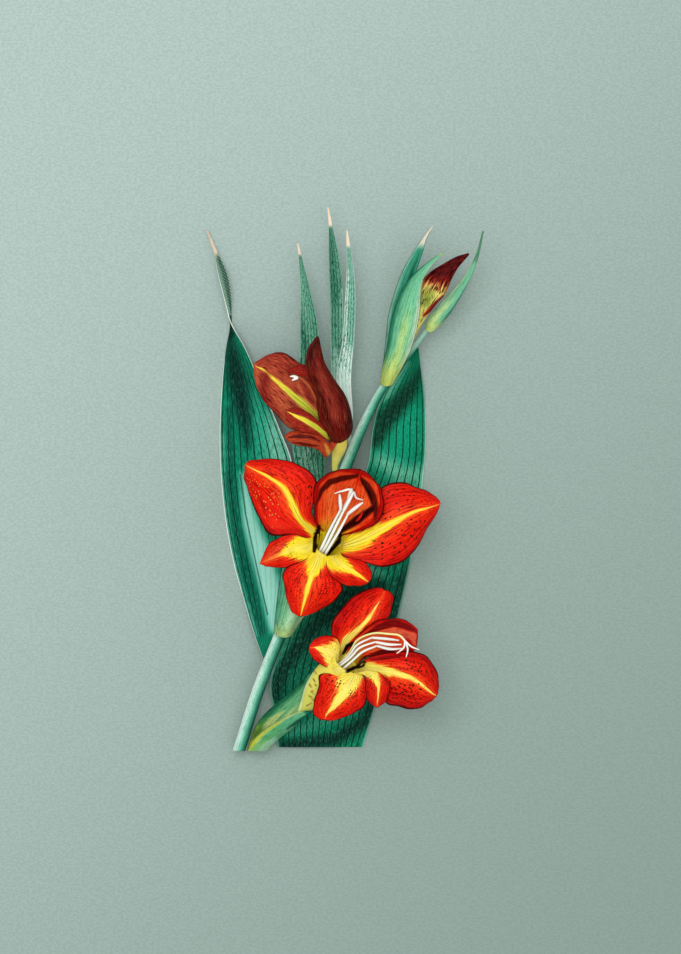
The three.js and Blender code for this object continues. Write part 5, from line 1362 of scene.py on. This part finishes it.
def leaf_colours(name, points, u, v, seed):
    """Long veined lanes of green, with painted light and shade, a pale margin and a dry tan tip."""
    look = LEAF_LOOKS[name]
    x, y = points[:, 0], points[:, 1]
    lane = np.floor(v * look["lanes"] + 0.5)
    lane_tone = 0.5 + 0.5 * np.sin(lane * 12.9898 + seed)
    drift = patches_of(u * 2.2 + lane_tone * 0.6, seed)
    shades = mix(look["body"], look["light"], 0.55 * drift + 0.3 * lane_tone)
    # Painted light and shade laid over the greens
    shades = painted(shades, points, LEAF_LIGHT_AND_SHADE[name], 0.8 + 0.2 * lane_tone)
    margin = ease(0.958, 0.982, np.abs(v))
    shades = mix(shades, WHITISH, look["edge"] * margin)
    calm = margin
    if name == "leaf_left":
        # Painted shade: dark hatching on one half of the left leaf above its twist
        hatched_shade = fine_lines(2 * math.pi * (y + 0.7 * x) / HATCH_PITCH, 1)
        twisted = ease(TWIST_Y, TWIST_Y + 4, y) * ease(-0.5, 0.3, -v)
        shades = mix(shades, (14, 40, 32), 0.9 * hatched_shade * twisted)
        calm = np.maximum(calm, 0.8 * stroke(points, SMOOTH_LINE, 3))
    if name in ("leaf_centre", "leaf_centre_right"):
        calm = np.maximum(calm, 0.75 * ease(50, 36, y))
    if "dry" in look:
        dry = ease(look["dry"] - 0.02, look["dry"] + 0.01, u)
        shades = mix(shades, TAN, dry)
        calm = np.maximum(calm, dry)
    return shades, calm


def add_leaf(name, seed, materials):
    look = LEAF_LOOKS[name]
    half_width = look["half"]
    wide = half_width > WIDE_LEAF_HALF
    points, faces, u, v = blade_parts(
        LEAF_ROWS[name], WIDE_LEAF_GRID if wide else LEAF_GRID, LEAF_THICKNESS, lowest=LEAF_LOWEST,
        ridges=4 * look["lanes"], ridge=0.04, ruffle=0.1, waves=3, phase=seed,
    )
    shades, calm = leaf_colours(name, points, u, v, seed)
    lanes = look["lanes"] + look.get("more", 0) * ease(FEW_VEINS_Y, MANY_VEINS_Y, points[:, 1])
    length = 2.5 * half_width + 60
    skin = Skin()
    skin.add(points, faces, shades, grain=grain_of(v * half_width, u * length, seed * 17),
             lanes=v * lanes + 0.5, calm=calm)
    skin.piece(name + "_blade", name, "leaf", materials[wide])


def bract_colours(name, u, v, seed):
    """Green, with a stripe, a paler base and tip and a different shade along each side. The stripe is
    pale on most bracts; on the outer bud bract it is painted shadow.
    """
    body, base, left, right, stripe, end, at, until, end_from, base_to = BRACT_LOOKS[name]
    shades = mix(body, MINT, 0.15 * patches_of(v * 2.6 + u, seed))
    shades = mix(shades, left, ease(-0.5, -0.92, v))
    shades = mix(shades, right, ease(0.4, 0.92, v))
    beside = np.abs(v - at * (1 - 0.4 * u))
    striped = (1 - ease(0.12, 0.5, beside)) * (1 - ease(until * 0.6, until, u))
    shades = mix(shades, stripe, 0.9 * striped)
    shades = mix(shades, base, 1 - ease(0.04, base_to, u))
    shades = mix(shades, end, ease(end_from - 0.05, end_from + 0.02, u))
    veins = fine_lines(14 * math.pi * v + 2 * u, 4)
    shades = mix(shades, DEEP_GREEN, 0.22 * veins * (1 - 0.7 * striped))
    return mix(shades, DEEP_GREEN, 0.6 * ease(0.95, 1, np.abs(v)))


def add_bract(name, seed, material):
    points, faces, u, v = blade_parts(
        BRACT_ROWS[name], BRACT_GRID, BRACT_THICKNESS, ridges=10, ridge=0.03, phase=seed,
    )
    shades = painted(bract_colours(name, u, v, seed), points, BRACT_STROKES.get(name, []))
    skin = Skin()
    skin.add(points, faces, shades, grain=grain_of(v * 7, u * 40, seed * 19), calm=0.2)
    skin.piece(name + "_blade", name, "bract", material)


def add_stem(material):
    steps, sides = STEM_GRID
    t = np.linspace(0, 1, steps + 1)
    rings, turn = rings_round(STEM_PATH, t, radius_at(STEM_RADII, t), sides)
    onward = unit(np.subtract(STEM_PATH[1], STEM_PATH[0]))
    rings[0] += ((CUT_Y - rings[0][:, 1]) / onward[1])[:, None] * onward
    outward = unit(rings - spline(STEM_PATH, t)[:, None])
    # Painted light and shade: the stem is lighter on its left side and darker on its right side
    shades = ramp(outward[..., 0] + 0.12 * ripple(t * 6, 3)[:, None], STEM_LIGHT_AND_SHADE)
    shades = mix(shades, PALE_MINT, 0.65 * ease(0.86, 0.95, t)[:, None])
    points, faces = closed_rings(rings)
    along, around = ring_values(t, turn)
    skin = Skin()
    skin.add(points, faces, np.vstack([shades.reshape(-1, 3), STEM_ENDS]),
             grain=grain_of(around * 2.4, along * 180, 5))
    skin.piece("stem_rod", "stem", "stem", material)


def bud_colours(points, turn):
    """Maroon streaks that run down into a pale yellow base, with a green patch and a red fold."""
    x, y = points[:, 0], points[:, 1]
    streaks = 2.6 * ripple(turn * 2.4, 4) + 1.3 * ripple(turn * 7, 9)
    height = y - BUD_SLOPE * (BUD_X - x) + streaks
    base = mix((248, 232, 130), (220, 216, 104), patches_of(turn * 3, 2))
    base = painted(base, points, [
        ((140, 160, 64), 0.85, 3, (32.2,70.8,4.4), (33.6,74.4,4.4)),
        ((130, 14, 14), 0.95, 1, (31.6,65.9,1), (35.4,69.4,2.2), (39.4,73.2,1.6)),
    ])
    dark = mix((112, 8, 12), (36, 0, 4), patches_of(turn * 4 + y * 0.06, 7))
    dark = mix((168, 20, 16), dark, ease(-3, 3, height - DARK_Y))
    return mix(base, dark, ease(-2.2, 2.6, height - WINE_Y))


def add_bud(material):
    steps, sides = BUD_GRID
    t = np.linspace(0, 1, steps + 1)
    turn = np.linspace(0, 2 * math.pi, sides, endpoint=False)
    rows = np.asarray(BUD_ROWS, float)
    left, right = spline(rows[:, 0], t), spline(rows[:, 1], t)
    centre, half = (left + right) / 2, (right - left) / 2
    furl = 1 + BUD_FURL * np.cos(3 * turn + 5 * t[:, None]) * np.sin(math.pi * t)[:, None]
    rings = centre[:, None] + half[:, None] * (np.cos(turn) * furl)[..., None]
    rings[..., 2] += np.linalg.norm(half, axis=-1)[:, None] * BUD_DEPTH * np.sin(turn) * furl
    points, faces = closed_rings(rings)
    along, around = ring_values(t, turn)
    skin = Skin()
    skin.add(points, faces, bud_colours(points, around), grain=grain_of(around * 3, along * 55, 3))
    skin.piece("bud_furled", "bud", "bud", material)


# Stamens, styles and ovaries

def add_rod(skin, path, radii, shade, sides=20, steps=60, seed=0):
    """A thin rod, with painted light on top and painted shade along its sides."""
    t = np.linspace(0, 1, steps + 1)
    rings, turn = rings_round(path, t, radius_at(radii, t), sides)
    points, faces = closed_rings(rings)
    rise = rings[..., 2] - rings[..., 2].mean(1, keepdims=True)
    lift = rise / np.maximum(np.abs(rise).max(1, keepdims=True), 1e-6)
    along, around = ring_values(t, turn)
    if shade == "ovary":
        shades = mix(OVARY_BASE, OVARY_TOP, along)
    else:
        # Painted light and shade by height round the rod: shaded sides, lit top
        under, top, low, high = ROD_LIGHT_AND_SHADE[shade]
        shades = mix(under, top, ease(low, high, np.append(lift.ravel(), [0, 0])))
    if shade == "style":
        shades = mix(shades, STYLE_END, ease(0.8, 1, along))
    skin.add(points, faces, shades, grain=grain_of(around * radii[0] * 2, along * 12, seed))


def add_stamens(name, filament_material, anther_material):
    flower = FLOWERS[name]
    filament_radii = [share * FILAMENT_RADII[name] for share in FILAMENT_SHAPE]
    anther_radii = [share * ANTHER_RADII[name] for share in ANTHER_SHAPE]
    for number, (root, *path) in enumerate(flower["stamens"], 1):
        start = ring_point(flower["tube"]["path"], *flower["stamen_root"], root)
        node = f"{name}_filament_{number}"
        skin = Skin()
        add_rod(skin, [start, *path[:3]], filament_radii, "filament", seed=number)
        skin.piece(node + "_thread", node, "filament", filament_material)
        node = f"{name}_anther_{number}"
        skin = Skin()
        add_rod(skin, path[2:], anther_radii, "pale", seed=number + 5)
        skin.piece(node + "_pollen", node, "anther", anther_material)


def add_style(name, material):
    flower = FLOWERS[name]
    path = [ring_point(flower["tube"]["path"], *root) for root in flower["style_roots"]] + flower["style"]
    skin = Skin()
    add_rod(skin, path, [STYLE_RADIUS] * len(path), flower["style_shade"], steps=90)
    for branch in flower["stigmas"]:
        radii = [STIGMA_RADII[name], STIGMA_RADII[name], STIGMA_TIP_RADIUS]
        add_rod(skin, [flower["fork"], *branch], radii, "pale", steps=24)
    skin.piece(name + "_style_thread", name + "_style", "style", material)


def add_ovaries(material):
    radii = [share * OVARY_RADIUS for share in OVARY_SHAPE]
    for node, path in OVARIES.items():
        skin = Skin()
        add_rod(skin, path, radii, "ovary", sides=24, steps=30)
        skin.piece(node + "_body", node, "ovary", material)


# Stage: floor, lights and camera

def place_object(name, data, place=(0, 0, 0)):
    made = bpy.data.objects.new(name, data)
    made.location = place
    bpy.context.scene.collection.objects.link(made)
    return made


def add_floor():
    mesh = bpy.data.meshes.new("floor")
    corners = [(-1, -1), (1, -1), (1, 1), (-1, 1)]
    mesh.from_pydata([(x * FLOOR_HALF, y * FLOOR_HALF, FLOOR_Z) for x, y in corners], [], [(0, 1, 2, 3)])
    mesh.materials.append(floor_material())
    floor = place_object("floor", mesh)


def add_light():
    """An even white sky and lamps that look at the origin."""
    world = bpy.data.worlds.new("studio")
    world.use_nodes = True
    sky = world.node_tree.nodes["Background"]
    sky.inputs["Color"].default_value = (1, 1, 1, 1)
    sky.inputs["Strength"].default_value = WORLD_STRENGTH
    bpy.context.scene.world = world
    for name, place, size, power in LAMPS:
        light = bpy.data.lights.new(name, "AREA")
        light.size = size
        light.energy = power
        lamp = place_object(name, light, place)
        lamp.rotation_euler = lamp.location.to_track_quat("Z", "Y").to_euler()


def add_camera():
    distance = VIEW_HEIGHT * LENS / SENSOR_HEIGHT
    data = bpy.data.cameras.new("camera")
    data.sensor_fit = "VERTICAL"
    data.sensor_height = SENSOR_HEIGHT
    data.lens = LENS
    data.clip_end = 100.0
    place = (VIEW_CENTRE[0] * MM, VIEW_CENTRE[1] * MM, (distance + FOCUS_HEIGHT) * MM)
    bpy.context.scene.camera = place_object("camera", data, place)


def build():
    skins = {name: smooth_material(name, *values) for name, values in SMOOTH_SKINS.items()}
    leaves = [leaf_material("narrow_leaf_veined", 1.0, 0.9), leaf_material("wide_leaf_veined", 0.65, 0.5)]
    tepal = tepal_material()
    anther = pollen_material()
    add_flower("upper", "tepal", tepal)
    add_flower("lower", "tepal", tepal)
    add_flower("half_open", "half_open_tepal", skins["half_open_velvet"])
    add_stamens("upper", skins["filament_skin"], anther)
    add_stamens("lower", skins["filament_skin"], anther)
    for name in FLOWERS:
        add_style(name, skins["style_skin"])
    add_ovaries(skins["ovary_skin"])
    add_bud(skins["bud_skin"])
    add_stem(skins["stem_skin"])
    for seed, name in enumerate(LEAF_ROWS, 1):
        add_leaf(name, seed, leaves)
    for seed, name in enumerate(BRACT_ROWS, 1):
        add_bract(name, seed, skins["bract_skin"])


build()
add_floor()
add_light()
add_camera()
bpy.context.scene.view_settings.view_transform = "Standard"
